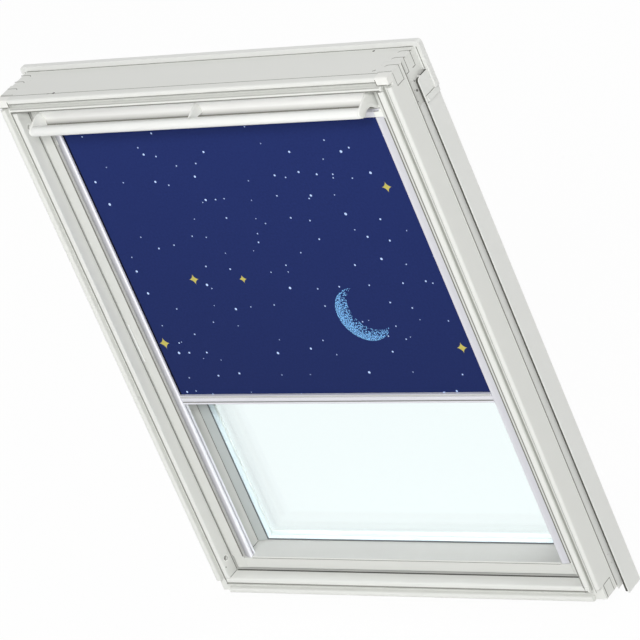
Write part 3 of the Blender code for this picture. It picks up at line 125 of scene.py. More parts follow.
def add(tree, kind, inputs=None, **settings):
    """A node with its settings; each input takes a value or another node's socket."""
    item = tree.nodes.new(kind)
    for name, value in settings.items():
        setattr(item, name, value)
    for name, value in (inputs or {}).items():
        if isinstance(value, bpy.types.NodeSocket):
            tree.links.new(value, item.inputs[name])
        else:
            item.inputs[name].default_value = value
    return item


def cleared(owner):
    """The node tree of a new material or world, emptied."""
    owner.use_nodes = True
    owner.node_tree.nodes.clear()
    return owner.node_tree


def maths(tree, kind, *values):
    return add(tree, "ShaderNodeMath", dict(enumerate(values)), operation=kind).outputs[0]


def seen_directly(tree):
    """1 for rays that show the background itself: from the camera, off gloss and through glass."""
    path = add(tree, "ShaderNodeLightPath").outputs
    seen = maths(tree, "MAXIMUM", path["Is Camera Ray"], path["Is Glossy Ray"])
    return maths(tree, "MAXIMUM", seen, path["Is Transmission Ray"])


def background():
    """Plain white where it is seen, and dimmer where it only lights."""
    world = bpy.data.worlds.new("studio")
    tree = cleared(world)
    strength = add(tree, "ShaderNodeMix", {0: seen_directly(tree), 2: WORLD_LIGHT, 3: 1.0})
    light = add(tree, "ShaderNodeBackground", {"Color": WHITE, "Strength": strength.outputs[0]})
    add(tree, "ShaderNodeOutputWorld", {"Surface": light.outputs[0]})
    bpy.context.scene.world = world


def paper_floor():
    """Pale floor that shades a little where it is lit, and looks white."""
    half, low = FLOOR_SPAN / 2, cad_box[0].z
    sheet = bpy.data.meshes.new("floor")
    corners = [(-half, -half, low), (half, -half, low), (half, half, low), (-half, half, low)]
    sheet.from_pydata(corners, [], [(0, 1, 2, 3)])
    ground = put("floor", sheet)
    paper = bpy.data.materials.new("pale_floor")
    tree = cleared(paper)
    matt = add(tree, "ShaderNodeBsdfDiffuse", {"Color": linear("EFEFED")})
    white = add(tree, "ShaderNodeEmission", {"Color": WHITE, "Strength": 1.0})
    share = maths(tree, "MULTIPLY", seen_directly(tree), FLOOR_SELF_WHITE)
    both = add(tree, "ShaderNodeMixShader", {0: share, 1: matt.outputs[0], 2: white.outputs[0]})
    add(tree, "ShaderNodeOutputMaterial", {"Surface": both.outputs[0]})
    sheet.materials.append(paper)


def softboxes():
    for name, place, size, power in SOFTBOXES:
        lamp = bpy.data.lights.new(name, "AREA")
        lamp.shape = "SQUARE"
        lamp.size = size
        lamp.energy = power
        box = put(name, lamp)
        box.location = place
        box.rotation_mode = "QUATERNION"
        box.rotation_quaternion = (Vector(place) - Vector(LIT_POINT)).to_track_quat("Z", "Y")


camera()
background()
paper_floor()
softboxes()


# Finishes
def finish(name, code, roughness, metallic=0.0, ior=1.5):
    """A material with its colour and gloss on the shader's own sockets."""
    material = bpy.data.materials.new(name)
    tree = cleared(material)
    looks = {"Base Color": linear(code), "Roughness": roughness, "Metallic": metallic}
    if not metallic:
        looks["IOR"] = ior
    shader = add(tree, "ShaderNodeBsdfPrincipled", looks)
    add(tree, "ShaderNodeOutputMaterial", {"Surface": shader.outputs[0]})
    return material, tree, shader


def on_object(tree):
    return add(tree, "ShaderNodeTexCoord").outputs["Object"]


def part_of(tree, place, axis):
    return add(tree, "ShaderNodeSeparateXYZ", {0: place}).outputs[axis]


def noise(tree, place, per_metre, detail):
    """Soft noise with so many cells to the metre."""
    cloud = add(tree, "ShaderNodeTexNoise", {"Vector": place, "Scale": per_metre, "Detail": detail})
    return cloud.outputs["Fac"]


def mixed(tree, share, first, second):
    """Colour between two, each a hex code or another node's socket."""
    pair = {6: first, 7: second}
    ends = {i: linear(c) if isinstance(c, str) else c for i, c in pair.items()}
    return add(tree, "ShaderNodeMix", {"Factor": share, **ends}, data_type="RGBA").outputs[2]


def drift(tree, shader, code, other, per_metre, stretch=(1, 1, 1)):
    """Slow colour drift between two close colours, as a batch of paint has. Returns the place
    on the object, stretched, for other textures."""
    mapping = add(tree, "ShaderNodeMapping", {"Vector": on_object(tree), "Scale": stretch})
    place = mapping.outputs[0]
    shade = mixed(tree, noise(tree, place, per_metre, 3.0), code, other)
    tree.links.new(shade, shader.inputs["Base Color"])
    return place


def relief(tree, shader, height, depth, strength):
    """Fine relief, its depth in millimetres."""
    bump = add(tree, "ShaderNodeBump", {"Height": height, "Strength": strength, "Distance": depth * MM})
    tree.links.new(bump.outputs[0], shader.inputs["Normal"])


def gloss_patches(tree, shader, place, per_metre, low, high):
    """Roughness that drifts a little, so a reflection isn't even."""
    cloud = noise(tree, place, per_metre, 2.0)
    spread = add(tree, "ShaderNodeMapRange", {"Value": cloud, "To Min": low, "To Max": high})
    tree.links.new(spread.outputs[0], shader.inputs["Roughness"])


def painted_shading(tree, shader, axis, stops):
    """Painted shade and highlight: colour that changes along an axis; stops are (mm, colour)."""
    low, high = stops[0][0], stops[-1][0]
    spot = part_of(tree, on_object(tree), axis)
    span = {"Value": spot, "From Min": low * MM, "From Max": high * MM}
    share = add(tree, "ShaderNodeMapRange", span)
    shade = add(tree, "ShaderNodeValToRGB", {"Fac": share.outputs[0]})
    ramp = shade.color_ramp.elements
    for place, _ in stops[1:-1]:
        ramp.new((place - low) / (high - low))
    for i, (_, code) in enumerate(stops):
        ramp[i].color = linear(code)
    tree.links.new(shade.outputs[0], shader.inputs["Base Color"])


def painted_pine(name, code, other, grain_along, shade_height=None):
    """White waterborne paint on laminated pine: satin, with a faint lift of the grain under it.
    The face at the height given is coloured darker: painted shade."""
    material, tree, shader = finish(name, code, 0.42)
    stretch = tuple(0.05 if axis == grain_along else 1.0 for axis in "XYZ")
    place = drift(tree, shader, code, other, 22.0, stretch)
    spot = on_object(tree)
    # Grain of about 1.6 mm, and orange peel of about 0.7 mm from the spray gun.
    grain, peel = noise(tree, place, 620.0, 2.0), noise(tree, spot, 1400.0, 1.0)
    relief(tree, shader, maths(tree, "ADD", grain, peel), 0.02, 0.18)
    gloss_patches(tree, shader, place, 40.0, 0.36, 0.5)
    if shade_height:
        base = shader.inputs["Base Color"]
        in_shade_band = maths(tree, "COMPARE", part_of(tree, spot, 2), shade_height * MM, 0.3 * MM)
        tree.links.new(mixed(tree, in_shade_band, base.links[0].from_socket, "C6C7C4"), base)
    return material


def lacquered_sheet():
    """Coil-coated aluminium sheet: even satin lacquer over a very slight oil-canning."""
    material, tree, shader = finish("lacquered_aluminium_sheet", "E0E1DE", 0.38)
    place = drift(tree, shader, "E1E2DF", "DEDFDC", 9.0)
    waves, fine = noise(tree, place, 14.0, 1.0), noise(tree, place, 1600.0, 1.0)
    relief(tree, shader, maths(tree, "MULTIPLY_ADD", fine, 0.02, waves), 0.6, 0.25)
    gloss_patches(tree, shader, place, 30.0, 0.34, 0.42)
    return material


def anodised_aluminium(name="anodised_aluminium", stops=()):
    """Extruded aluminium, matt pale anodised: fine die lines run along it. Where stops (across the
    window, colour) are given, it gets painted shade towards the stile and a painted highlight towards
    the cloth."""
    material, tree, shader = finish(name, "DCDCE2", 0.36, metallic=0.2)
    place = drift(tree, shader, "DFDFE5", "D9D9E0", 16.0, (1, 1, 0.04))
    if stops:
        painted_shading(tree, shader, 0, stops)
    relief(tree, shader, noise(tree, place, 1500.0, 1.0), 0.02, 0.4)
    gloss_patches(tree, shader, place, 60.0, 0.32, 0.42)
    return material


def white_bar_lacquer():
    """Powder-coated aluminium tube: glossier than the wood, with a fine pebble."""
    material, tree, shader = finish("white_powder_coat", "E6E7E4", 0.3)
    place = drift(tree, shader, "E8E9E7", "E4E5E2", 14.0)
    relief(tree, shader, noise(tree, place, 1100.0, 1.0), 0.03, 0.35)
    gloss_patches(tree, shader, place, 50.0, 0.26, 0.36)
    return material


def white_abs(name, code, other, stops=()):
    """Injection-moulded ABS: satin with a fine spark-eroded texture, and painted shade and highlight
    up its height where stops (height, colour) are given."""
    material, tree, shader = finish(name, code, 0.42, ior=1.53)
    place = drift(tree, shader, code, other, 18.0)
    spark = add(tree, "ShaderNodeTexVoronoi", {"Vector": place, "Scale": 1500.0})
    relief(tree, shader, spark.outputs["Distance"], 0.02, 0.35)
    gloss_patches(tree, shader, place, 45.0, 0.38, 0.5)
    if stops:
        painted_shading(tree, shader, 2, stops)
    return material


def grey_rubber():
    """Extruded EPDM: matt, a little dusty."""
    material, tree, shader = finish("grey_rubber", "60666A", 0.75, ior=1.52)
    place = drift(tree, shader, "5C6165", "6B7073", 60.0)
    relief(tree, shader, noise(tree, place, 900.0, 2.0), 0.04, 0.5)
    gloss_patches(tree, shader, place, 80.0, 0.66, 0.82)
    return material


def zinc_plate():
    """Zinc-plated pressed steel: bright grey, with cloudy passivation."""
    material, tree, shader = finish("zinc_plated_steel", "A9AAAC", 0.35, metallic=1.0)
    place = drift(tree, shader, "B2B3B5", "98999B", 70.0)
    gloss_patches(tree, shader, place, 160.0, 0.28, 0.46)
    relief(tree, shader, noise(tree, place, 800.0, 2.0), 0.02, 0.4)
    return material


def clear_glass():
    """Float glass: polished, very slightly blue-green through its thickness."""
    material, tree, shader = finish("clear_float_glass", "FAFFFF", 0.0)
    shader.inputs["Transmission Weight"].default_value = 1.0
    # Coated against glare, as such panes are.
    shader.inputs["Specular IOR Level"].default_value = 0.25
    relief(tree, shader, noise(tree, on_object(tree), 3.0, 0.0), 0.05, 0.05)
    return material


def filter_foam():
    """Open-cell polyether foam, dark grey with paler cell walls."""
    material, tree, shader = finish("open_cell_foam", "7F817F", 0.95)
    cells = add(tree, "ShaderNodeTexVoronoi", {"Vector": on_object(tree), "Scale": 620.0})
    shade = add(tree, "ShaderNodeValToRGB", {"Fac": cells.outputs["Distance"]})
    for end, code in zip(shade.color_ramp.elements, ("4C4E4D", "A3A5A2")):
        end.color = linear(code)
    tree.links.new(shade.outputs[0], shader.inputs["Base Color"])
    relief(tree, shader, cells.outputs["Distance"], 0.6, 0.8)
    return material


def joint_shadow(name, code, other):
    """Painted shade: dark colour for the unlit bottom of a joint, gap or drilled hole, or the shaded
    side of a round.
    """
    material, tree, shader = finish(name, code, 0.9)
    drift(tree, shader, code, other, 200.0)
    return material


# Painted shade and highlight: heights up the cove, and places across the two channels, with the colour
# at each.
COVE_SHADE_STOPS = ((919.0, "9C9C98"), (922.5, "C8C8C4"), (929.0, "F8F8F5"), (945.5, "FFFFFD"))
LEFT_CHANNEL_SHADE = ((-332.7, "A0A0A6"), (-319.4, "CCCCD2"), (-316.6, "F6F6FC"))
RIGHT_CHANNEL_SHADE = ((315.0, "DCDCE2"), (322.0, "CFCFD5"), (332.7, "C9C9CF"))
# Height of the top face of the sash's bottom rail, which gets painted shade.
SASH_SHADE_HEIGHT = 58.0

PINE_X = painted_pine("painted_pine_rail", "DFE0DC", "DCDDD9", "X")
PINE_Z = painted_pine("painted_pine_upright", "DFE0DC", "DCDDD9", "Z")
# The sash's paint is darker than the frame's, its uprights a little more: painted shade, as the sash
# sits back in the frame.
SASH_X = painted_pine("painted_sash_rail", "D6D7D3", "D3D4D0", "X", SASH_SHADE_HEIGHT)
SASH_Z = painted_pine("painted_sash_upright", "D4D5D1", "D1D2CE", "Z")
SHEET = lacquered_sheet()
ALUMINIUM = anodised_aluminium()
POWDER_COAT = white_bar_lacquer()
ABS = white_abs("white_abs", "EEEFEB", "EAEBE7")
# The cove is coloured darker towards its foot, behind the bar, as painted shade, and near white towards
# its top.
COVE_ABS = white_abs("cove_abs_shaded", "FBFBF8", "F7F7F4", COVE_SHADE_STOPS)
BEAD_PVC = white_abs("grey_white_bead", "BCC2C1", "B4BAB9")
# Each channel has its own copy of the finish, with painted shade towards the stile and a painted
# highlight towards the cloth.
CHANNELS = {
    "left": anodised_aluminium("anodised_channel_left_shaded", LEFT_CHANNEL_SHADE),
    "right": anodised_aluminium("anodised_channel_right_shaded", RIGHT_CHANNEL_SHADE),
}
RUBBER = grey_rubber()
ZINC = zinc_plate()
GLASS = clear_glass()
SPACER = white_abs("pale_spacer", "D0DADE", "CAD5DA")
# Paler than the frame's paint, for the upper corners: a painted highlight.
CORNER_HIGHLIGHT = painted_pine("painted_corner_highlight", "E8E8E4", "E4E4E0", "Z")
FOAM = filter_foam()
JOINT_SHADE = joint_shadow("painted_joint_shade", "6F6F68", "7C7C75")
LIP_SHADE = joint_shadow("lip_shade", "878882", "8F908A")
GROOVE_SHADE = joint_shadow("groove_shade", "AEAFAA", "B5B6B1")
GAP_SHADOW = joint_shadow("painted_gap_shadow", "4E4E49", "595954")


# The printed cloth
CLOTH_HALF = 324.0
CLOTH_LOW, CLOTH_TOP = 384.8, 895.5
CLOTH_DEPTH, CLOTH_THICK = 32.4, 0.5
# Width of the painted shadow along each edge of the cloth.
SLOT_SHADOW_WIDTH = 11.4
# The print, in metres, from the cloth's lower left corner.
MOON_PLACE, MOON_RADIUS = (0.452, 0.150), 0.050
MOON_BITE, MOON_BITE_RADIUS = (0.021, 0.013), 0.043
MOON_FADE = 0.022
STAR_POINTS = 0.62
# Cells to the metre, least and greatest radius (or reach), share of cells kept, and shift.
BIG_DOTS = (24.0, 0.0012, 0.0025, 0.34, 0.37)
SMALL_DOTS = (30.0, 0.0008, 0.0014, 0.26, 0.81)
SPARKLES = (6.5, 0.0115, 0.34, 0.553)
# Scale of the bands that draw the threads, and the crescent's specks to the metre.
THREADS, STIPPLE = 210.0, 520.0


def printed_cloth():
    """Polyester blackout weave, matt, printed with pale dots, gold sparkles and a crescent."""
    material, tree, shader = finish("printed_blackout_weave", "27316A", 0.82)
    shader.inputs["Specular IOR Level"].default_value = 0.12
    shader.inputs["Sheen Weight"].default_value = 0.015
    shader.inputs["Sheen Roughness"].default_value = 0.5
    place = add(tree, "ShaderNodeUVMap", uv_map="cloth").outputs[0]

    def calc(kind, *values):
        return maths(tree, kind, *values)

    def vector(kind, first, second):
        return add(tree, "ShaderNodeVectorMath", {0: first, 1: second}, operation=kind).outputs

    def loose_grid(where, per_metre):
        """Cells: the distance to each one's centre, where that is, and the chances it draws."""
        look = {"Vector": where, "Scale": per_metre}
        cells = add(tree, "ShaderNodeTexVoronoi", look, voronoi_dimensions="2D").outputs
        chance = add(tree, "ShaderNodeSeparateColor", {0: cells["Color"]})
        return cells["Distance"], cells["Position"], chance.outputs

    def dots(per_metre, least, most, kept, shift):
        """Round dots, one to a cell of a loose grid, some cells left empty."""
        moved = vector("ADD", place, (shift, shift * 0.7, 0))[0]
        away, _, chance = loose_grid(moved, per_metre)
        size = calc("MULTIPLY_ADD", chance[0], (most - least) * per_metre, least * per_metre)
        return calc("MULTIPLY", calc("LESS_THAN", away, size), calc("LESS_THAN", chance[1], kept))

    def sparkles(per_metre, reach, kept, shift):
        """Four-pointed sparkles: where the distances' roots add to less than the reach's root."""
        moved = vector("ADD", place, (shift, shift, 0))[0]
        _, centre, chance = loose_grid(moved, per_metre)
        away = vector("SUBTRACT", moved, centre)[0]
        roots = [calc("POWER", calc("ABSOLUTE", part_of(tree, away, i)), STAR_POINTS) for i in (0, 1)]
        size = calc("MULTIPLY_ADD", chance[0], reach * 0.5, reach * 0.6)
        inside = calc("LESS_THAN", calc("ADD", *roots), calc("POWER", size, STAR_POINTS))
        return calc("MULTIPLY", inside, calc("LESS_THAN", chance[1], kept))

    full = vector("DISTANCE", place, (*MOON_PLACE, 0))["Value"]
    bite_place = [MOON_PLACE[i] + MOON_BITE[i] for i in (0, 1)]
    bite = vector("DISTANCE", place, (*bite_place, 0))["Value"]
    in_moon = calc("LESS_THAN", full, MOON_RADIUS)
    off_bite = calc("GREATER_THAN", bite, MOON_BITE_RADIUS)
    # The stipple thins out towards the crescent's hollow side.
    fade = {"Value": bite, "From Min": MOON_BITE_RADIUS, "From Max": MOON_BITE_RADIUS + MOON_FADE}
    fill = add(tree, "ShaderNodeMapRange", fade)
    away, _, chance = loose_grid(place, STIPPLE)
    wanted = calc("MULTIPLY_ADD", fill.outputs[0], 0.75, 0.3)
    speck = calc("MULTIPLY", calc("LESS_THAN", away, 0.5), calc("LESS_THAN", chance[0], wanted))
    moon = calc("MULTIPLY", calc("MULTIPLY", in_moon, off_bite), speck)

    pale = calc("MAXIMUM", dots(*BIG_DOTS), dots(*SMALL_DOTS))
    gold = sparkles(*SPARKLES)

    wave = {"Vector": place, "Scale": THREADS}
    threads = [add(tree, "ShaderNodeTexWave", wave, bands_direction=way) for way in "XY"]
    weave = calc("MULTIPLY", *[thread.outputs["Fac"] for thread in threads])
    cloud = noise(tree, place, 260.0, 3.0)
    # Painted shadow along both edges of the cloth, where it runs into the channels' slots.
    across, up = part_of(tree, place, 0), part_of(tree, place, 1)
    near = calc("LESS_THAN", across, SLOT_SHADOW_WIDTH * MM)
    far = calc("GREATER_THAN", across, (2 * CLOTH_HALF - SLOT_SHADOW_WIDTH) * MM)
    slot_shadow = calc("MAXIMUM", near, far)
    # Darker towards the foot.
    darker_to_foot = {"Value": up, "From Max": 0.51, "To Min": 0.32, "To Max": 0.0}
    depth = add(tree, "ShaderNodeMapRange", darker_to_foot).outputs[0]
    colour = mixed(tree, cloud, "182559", "20306D")
    inks = ((moon, "79B3E8"), (pale, "B6CDF7"), (gold, "BDB25C"))
    for mask, code in ((depth, "0E1838"), *inks, (slot_shadow, "070B1E")):
        colour = mixed(tree, mask, colour, code)
    tree.links.new(colour, shader.inputs["Base Color"])
    # Threads of about 0.25 mm are drawn 0.75 mm wide, so that they show.
    relief(tree, shader, calc("MULTIPLY_ADD", cloud, 0.6, weave), 0.05, 0.35)
    return material


def coated_back():
    """Aluminised acrylic coating on the cloth's outer side: pale, slightly glossy."""
    material, tree, shader = finish("pale_acrylic_coating", "DCDEE0", 0.45)
    place = drift(tree, shader, "DFE1E3", "D5D7D9", 25.0)
    relief(tree, shader, noise(tree, place, 900.0, 2.0), 0.04, 0.4)
    return material


PRINT = printed_cloth()
COATING = coated_back()


# Shapes
def meshed(name, work):
    mesh = bpy.data.meshes.new(name)
    work.to_mesh(mesh)
    work.free()
    return mesh


def piece(name, work, material, body, slot, replaced=(), smooth=True):
    """Makes a mesh an object on its body, in place of the nodes that it stands for."""
    bmesh.ops.remove_doubles(work, verts=work.verts, dist=1e-7)
    bmesh.ops.recalc_face_normals(work, faces=work.faces)
    mesh = meshed(name, work)
    if smooth:
        mesh.polygons.foreach_set("use_smooth", [True] * len(mesh.polygons))
        mesh.set_sharp_from_angle(angle=SMOOTH_ANGLE)
    mesh.materials.append(material)
    made = put(name, mesh)
    if replaced:
        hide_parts(*replaced)
    if body:
        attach(made, body)
    return made


def loft(work, rings, closed_ends=True):
    """Skins rings of points, each with the same count, into a closed form."""
    rows = [[work.verts.new(p) for p in ring] for ring in rings]
    count = len(rows[0])
    for one, two in zip(rows, rows[1:]):
        for i in range(count):
            j = (i + 1) % count
            work.faces.new((one[i], one[j], two[j], two[i]))
    if closed_ends:
        work.faces.new(rows[0][::-1])
        work.faces.new(rows[-1])


def inset_outline(outline, amount):
    """The outline moved inwards by an amount, corner by corner."""
    count = len(outline)
    area = sum(a[0] * b[1] - b[0] * a[1] for a, b in zip([outline[-1], *outline], outline))
    side = 1 if area > 0 else -1
    moved = []
    for i in range(count):
        a, b, c = (Vector(outline[k % count]) for k in (i - 1, i, i + 1))
        first, second = (b - a).normalized(), (c - b).normalized()
        normals = [Vector((-d.y, d.x)) * side for d in (first, second)]
        middle = (normals[0] + normals[1]).normalized()
        reach = amount / max(0.5, middle.dot(normals[0]))
        moved.append(tuple(b + middle * reach))
    return moved


def eased_run(name, outline, low, high, steps, place, looks, replaced):
    """An outline run from low to high; near the ends it is inset, by steps of (along, inset)."""
    work = bmesh.new()
    stops = [(low + along, inset) for along, inset in steps]
    stops += [(high - along, inset) for along, inset in reversed(steps)]
    rings = []
    for end, inset in stops:
        shape = inset_outline(outline, inset) if inset else outline
        rings.append([place(end, *point) for point in shape])
    loft(work, rings)
    return piece(name, work, *looks, replaced)


def run_x(name, outline, low, high, edge, looks, replaced):
    """A (depth, z) outline run along X, with rounded ends."""
    steps = [(0.0, edge), (edge * 0.3, edge * 0.3), (edge, 0.0)]
    return eased_run(name, outline, low, high, steps, at, looks, replaced)


def turned(name, profile, depth, z, looks, replaced):
    """A form turned about an X axis from (x, radius) points."""
    work = bmesh.new()
    angles = [2 * math.pi * i / TURNED_SIDES for i in range(TURNED_SIDES)]
    rings = []
    for x, radius in profile:
        rings.append([at(x, depth + radius * math.cos(a), z + radius * math.sin(a)) for a in angles])
    loft(work, rings)
    return piece(name, work, *looks, replaced)


def arc(u, v, radius, start, end, steps):
    """Points on an arc between two angles in degrees."""
    angles = [math.radians(start + (end - start) * i / steps) for i in range(steps + 1)]
    return [(u + radius * math.cos(a), v + radius * math.sin(a)) for a in angles]


# Machined and folded parts keep their form and get eased edges
WELD_WITHIN = 1e-5
FLAT_WITHIN = math.radians(0.6)
BEVEL_OVER = math.radians(40)


def geometry_group(name, sizes):
    """A geometry node group with these sizes as inputs, and its inputs' sockets."""
    tree = bpy.data.node_groups.new(name, "GeometryNodeTree")
    sockets = tree.interface
    sockets.new_socket("Geometry", in_out="INPUT", socket_type="NodeSocketGeometry")
    for label, value in sizes.items():
        size = sockets.new_socket(label, in_out="INPUT", socket_type="NodeSocketFloat")
        size.default_value = value
    sockets.new_socket("Geometry", in_out="OUTPUT", socket_type="NodeSocketGeometry")
    return tree, add(tree, "NodeGroupInput").outputs


def edge_tree():
    """Smooth shading except across folds sharper than the given angle."""
    tree, start = geometry_group("smooth_to_angle", {"Fold angle": SMOOTH_ANGLE})
    plain = add(tree, "GeometryNodeRemoveAttribute", {0: start[0], "Name": "custom_normal"})
    fold = add(tree, "GeometryNodeInputMeshEdgeAngle")
    soft = add(tree, "FunctionNodeCompare", {0: fold.outputs[0], 1: start[1]}, operation="LESS_THAN")
    faces = add(tree, "GeometryNodeSetShadeSmooth", {0: plain.outputs[0]}, domain="FACE")
    smooth = {0: faces.outputs[0], "Shade Smooth": soft.outputs[0]}
    edges = add(tree, "GeometryNodeSetShadeSmooth", smooth, domain="EDGE")
    add(tree, "NodeGroupOutput", {0: edges.outputs[0]})
    return tree


EDGE_TREE = edge_tree()


def modify(item, name, kind, **settings):
    made = item.modifiers.new(name, kind)
    for setting, value in settings.items():
        setattr(made, setting, value)


def ease_edges(item, material, edge):
    """Gives an object its finish and eases its edges, its shape as it is."""
    item.data.materials.clear()
    item.data.materials.append(material)
    modify(item, "join_faces", "WELD", merge_threshold=WELD_WITHIN)
    modify(item, "whole_faces", "DECIMATE", decimate_type="DISSOLVE", angle_limit=FLAT_WITHIN)
    if edge:
        bevel = {"limit_method": "ANGLE", "angle_limit": BEVEL_OVER, "segments": 2}
        modify(item, "eased_edges", "BEVEL", width=edge * MM, **bevel)
    modify(item, "shading", "NODES", node_group=EDGE_TREE)
    # Flat faces stay flat up to their rounds.
    modify(item, "flat_faces", "WEIGHTED_NORMAL", keep_sharp=True, weight=100)
    return item


# Lips of the frame, whose machined rounds are sanded wider; each has its axis and, for each edge,
# its place and the way from it into the wood
LIP_EDGES = {
    "frame_top_rail": ("z", ((952.5, 1), (961.5, -1), (968.0, 1))),
    "frame_bottom_rail": ("z", ((30.5, -1), (18.0, 1), (10.0, -1))),
    "frame_left_jamb": ("x", ((-371.5, 1), (-380.0, -1))),
    "frame_right_jamb": ("x", ((358.5, 1), (371.5, -1), (380.0, 1))),
}
MACHINED_ROUND, SANDED_ROUND = 2.0, 4.0
ROUND_SLACK = 0.05


def on_round(distance):
    return -ROUND_SLACK < distance < MACHINED_ROUND + ROUND_SLACK


def sanded_lips(node):
    """Widens the rounds along a frame piece's lips, each about its own sharp corner."""
    axis, edges = LIP_EDGES[node]
    index = "xyz".index(axis)
    work = bmesh.new()
    work.from_mesh(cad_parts[node].data)
    bmesh.ops.remove_doubles(work, verts=work.verts, dist=1e-6)
    grow = SANDED_ROUND / MACHINED_ROUND
    for vert in work.verts:
        across = vert.co[index] / MM
        depth = vert.co.y / MM + LIP_PLANE
        for edge, inward in edges:
            away = (across - edge) * inward
            if on_round(away) and on_round(depth):
                vert.co[index] = (edge + away * inward * grow) * MM
                vert.co.y = (depth * grow - LIP_PLANE) * MM
                break
    made = put(node.replace("frame_", "painted_"), meshed(node + "_lips", work))
    ease_edges(made, PINE_X if axis == "z" else PINE_Z, 0.4)
    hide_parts(node)
    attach(made, "frame")


for name in LIP_EDGES:
    sanded_lips(name)

# Finish, width of the eased edge, and the nodes.
DRESSED = (
    (SASH_X, 0.4, "sash_top_rail sash_bottom_rail"),
    (SASH_Z, 0.4, "sash_left_stile sash_right_stile"),
    (SHEET, 0.25, "head_hood bottom_cover left_side_cover right_side_cover"),
    (SHEET, 0.25, "hood_clip_left hood_clip_right"),
    (SHEET, 0.6, "sash_cover_left sash_cover_right sash_cover_top sash_cover_bottom"),
    (SPACER, 0.25, "glass_spacer"),
    (ALUMINIUM, 0.25, "blind_cassette blind_bottom_bar"),
    (BEAD_PVC, 0.2, "glazing_bead_left glazing_bead_right"),
    (ABS, 0.2, "cassette_cap_left cassette_cap_right ventilation_bush cleaning_bush bolt_sleeve"),
    (ABS, 0.2, "bar_glide_left bar_glide_right roller_plug_left roller_plug_right"),
    (ABS, 0.2, "flap_pin_left flap_pin_right"),
    (RUBBER, 0.2, "glazing_gasket sash_seal flap_seal"),
    (POWDER_COAT, 0.2, "frame_pivot_left frame_pivot_right sash_pivot_left sash_pivot_right"),
    (ZINC, 0.2, "latch_strike latch_tongue lock_case barrel_bolt"),
    (GLASS, 0.0, "inner_pane outer_pane"),
    (FOAM, 0.5, "vent_filter"),
    (ALUMINIUM, 0.0, "roller_tube"),
)
for material, edge, names in DRESSED:
    for name in names.split():
        dressed = ease_edges(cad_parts[name], material, edge)
        # Clear glass throws no shadow that the eye would see.
        dressed.visible_shadow = material is not GLASS


# Control bar, cove and arms
BAR_DEPTH, BAR_HEIGHT, BAR_RADIUS = -11.5, 925.5, 8.5
BAR_EASE = 1.2
ARM_OUTER, ARM_THICK, ARM_EDGE = 329.5, 3.5, 0.45
BAR_END = ARM_OUTER - ARM_THICK - 0.3
COVE_RADIUS = 33.0
FLAP_FOOT, FLAP_TOP, FLAP_BACK = 919.0, 945.5, 33.2
HINGE_DEPTH, HINGE_HEIGHT, KNUCKLE = 30.5, 912.0, 3.8
CURVE_STEPS = 4
MIDDLE_ARM_X, MIDDLE_ARM_THICK = -4.0, 3.2
ARM_LOOKS = (ABS, "control_flap", "plastic")


def control_bar():
    """Round bar, its ends eased."""
    middle, radius = BAR_END - BAR_EASE, BAR_RADIUS - BAR_EASE
    turns = (0, 0.5, 1.0, math.pi / 2)
    right = [(middle + BAR_EASE * math.sin(a), radius + BAR_EASE * math.cos(a)) for a in turns]
    left = [(-x, r) for x, r in reversed(right)]
    looks = (POWDER_COAT, "control_flap", "white_bar")
    turned("handle_bar", left + right, BAR_DEPTH, BAR_HEIGHT, looks, ["control_bar"])


def hinge_side():
    """Knuckle and straight back that the cove and the end arms share."""
    back = [(FLAP_BACK, HINGE_HEIGHT + 6), (FLAP_BACK, FLAP_TOP - 4), (FLAP_BACK - 3, FLAP_TOP)]
    return arc(HINGE_DEPTH, HINGE_HEIGHT, KNUCKLE, 215, 325, 8) + back


def cove():
    top = math.degrees(math.asin((FLAP_TOP - BAR_HEIGHT) / COVE_RADIUS))
    low = math.degrees(math.asin((FLAP_FOOT - BAR_HEIGHT) / COVE_RADIUS))
    outline = arc(BAR_DEPTH, BAR_HEIGHT, COVE_RADIUS, top, low, 28) + hinge_side()
    looks = (COVE_ABS, "control_flap", "plastic")
    run_x("cove_panel", outline, -BAR_END, BAR_END, 0.3, looks, ["vent_flap"])


def smooth_line(points):
    """A curve through the points."""
    line = []
    count = len(points)
    for i in range(count - 1):
        p = [Vector(points[min(max(i + k, 0), count - 1)]) for k in (-1, 0, 1, 2)]
        for s in range(CURVE_STEPS):
            t = s / CURVE_STEPS
            a = 2 * p[1] + (p[2] - p[0]) * t
            b = (2 * p[0] - 5 * p[1] + 4 * p[2] - p[3]) * t * t
            c = (3 * p[1] - p[0] - 3 * p[2] + p[3]) * t * t * t
            line.append(tuple((a + b + c) / 2))
    return [*line, tuple(points[-1])]


def arm_front():
    """Front edge of an arm, from the flap's top down to the bar's top."""
    places = [(27.3, 18.6), (22.7, 17.6), (13.2, 15.0), (5.1, 11.4), (-3.4, 7.9)]
    return [(BAR_DEPTH + d, BAR_HEIGHT + z) for d, z in places]


def end_arm(side, tag):
    nose = arc(BAR_DEPTH, BAR_HEIGHT, BAR_RADIUS - 0.5, 112, 285, 22)
    hollow = [(5.6, -7.8), (8.2, -5.0), (11.8, -3.0), (16.5, -2.3), (21.5, -2.8), (26.1, -5.0)]
    arch = smooth_line([(BAR_DEPTH + d, BAR_HEIGHT + z) for d, z in hollow])
    front = smooth_line([(FLAP_BACK - 8, FLAP_TOP), *arm_front()])[:-1]
    outline = front + nose + arch + hinge_side()
    low, high = sorted((side * (ARM_OUTER - ARM_THICK), side * ARM_OUTER))
    run_x(f"arm_{tag}", outline, low, high, ARM_EDGE, ARM_LOOKS, [f"end_arm_{tag}"])


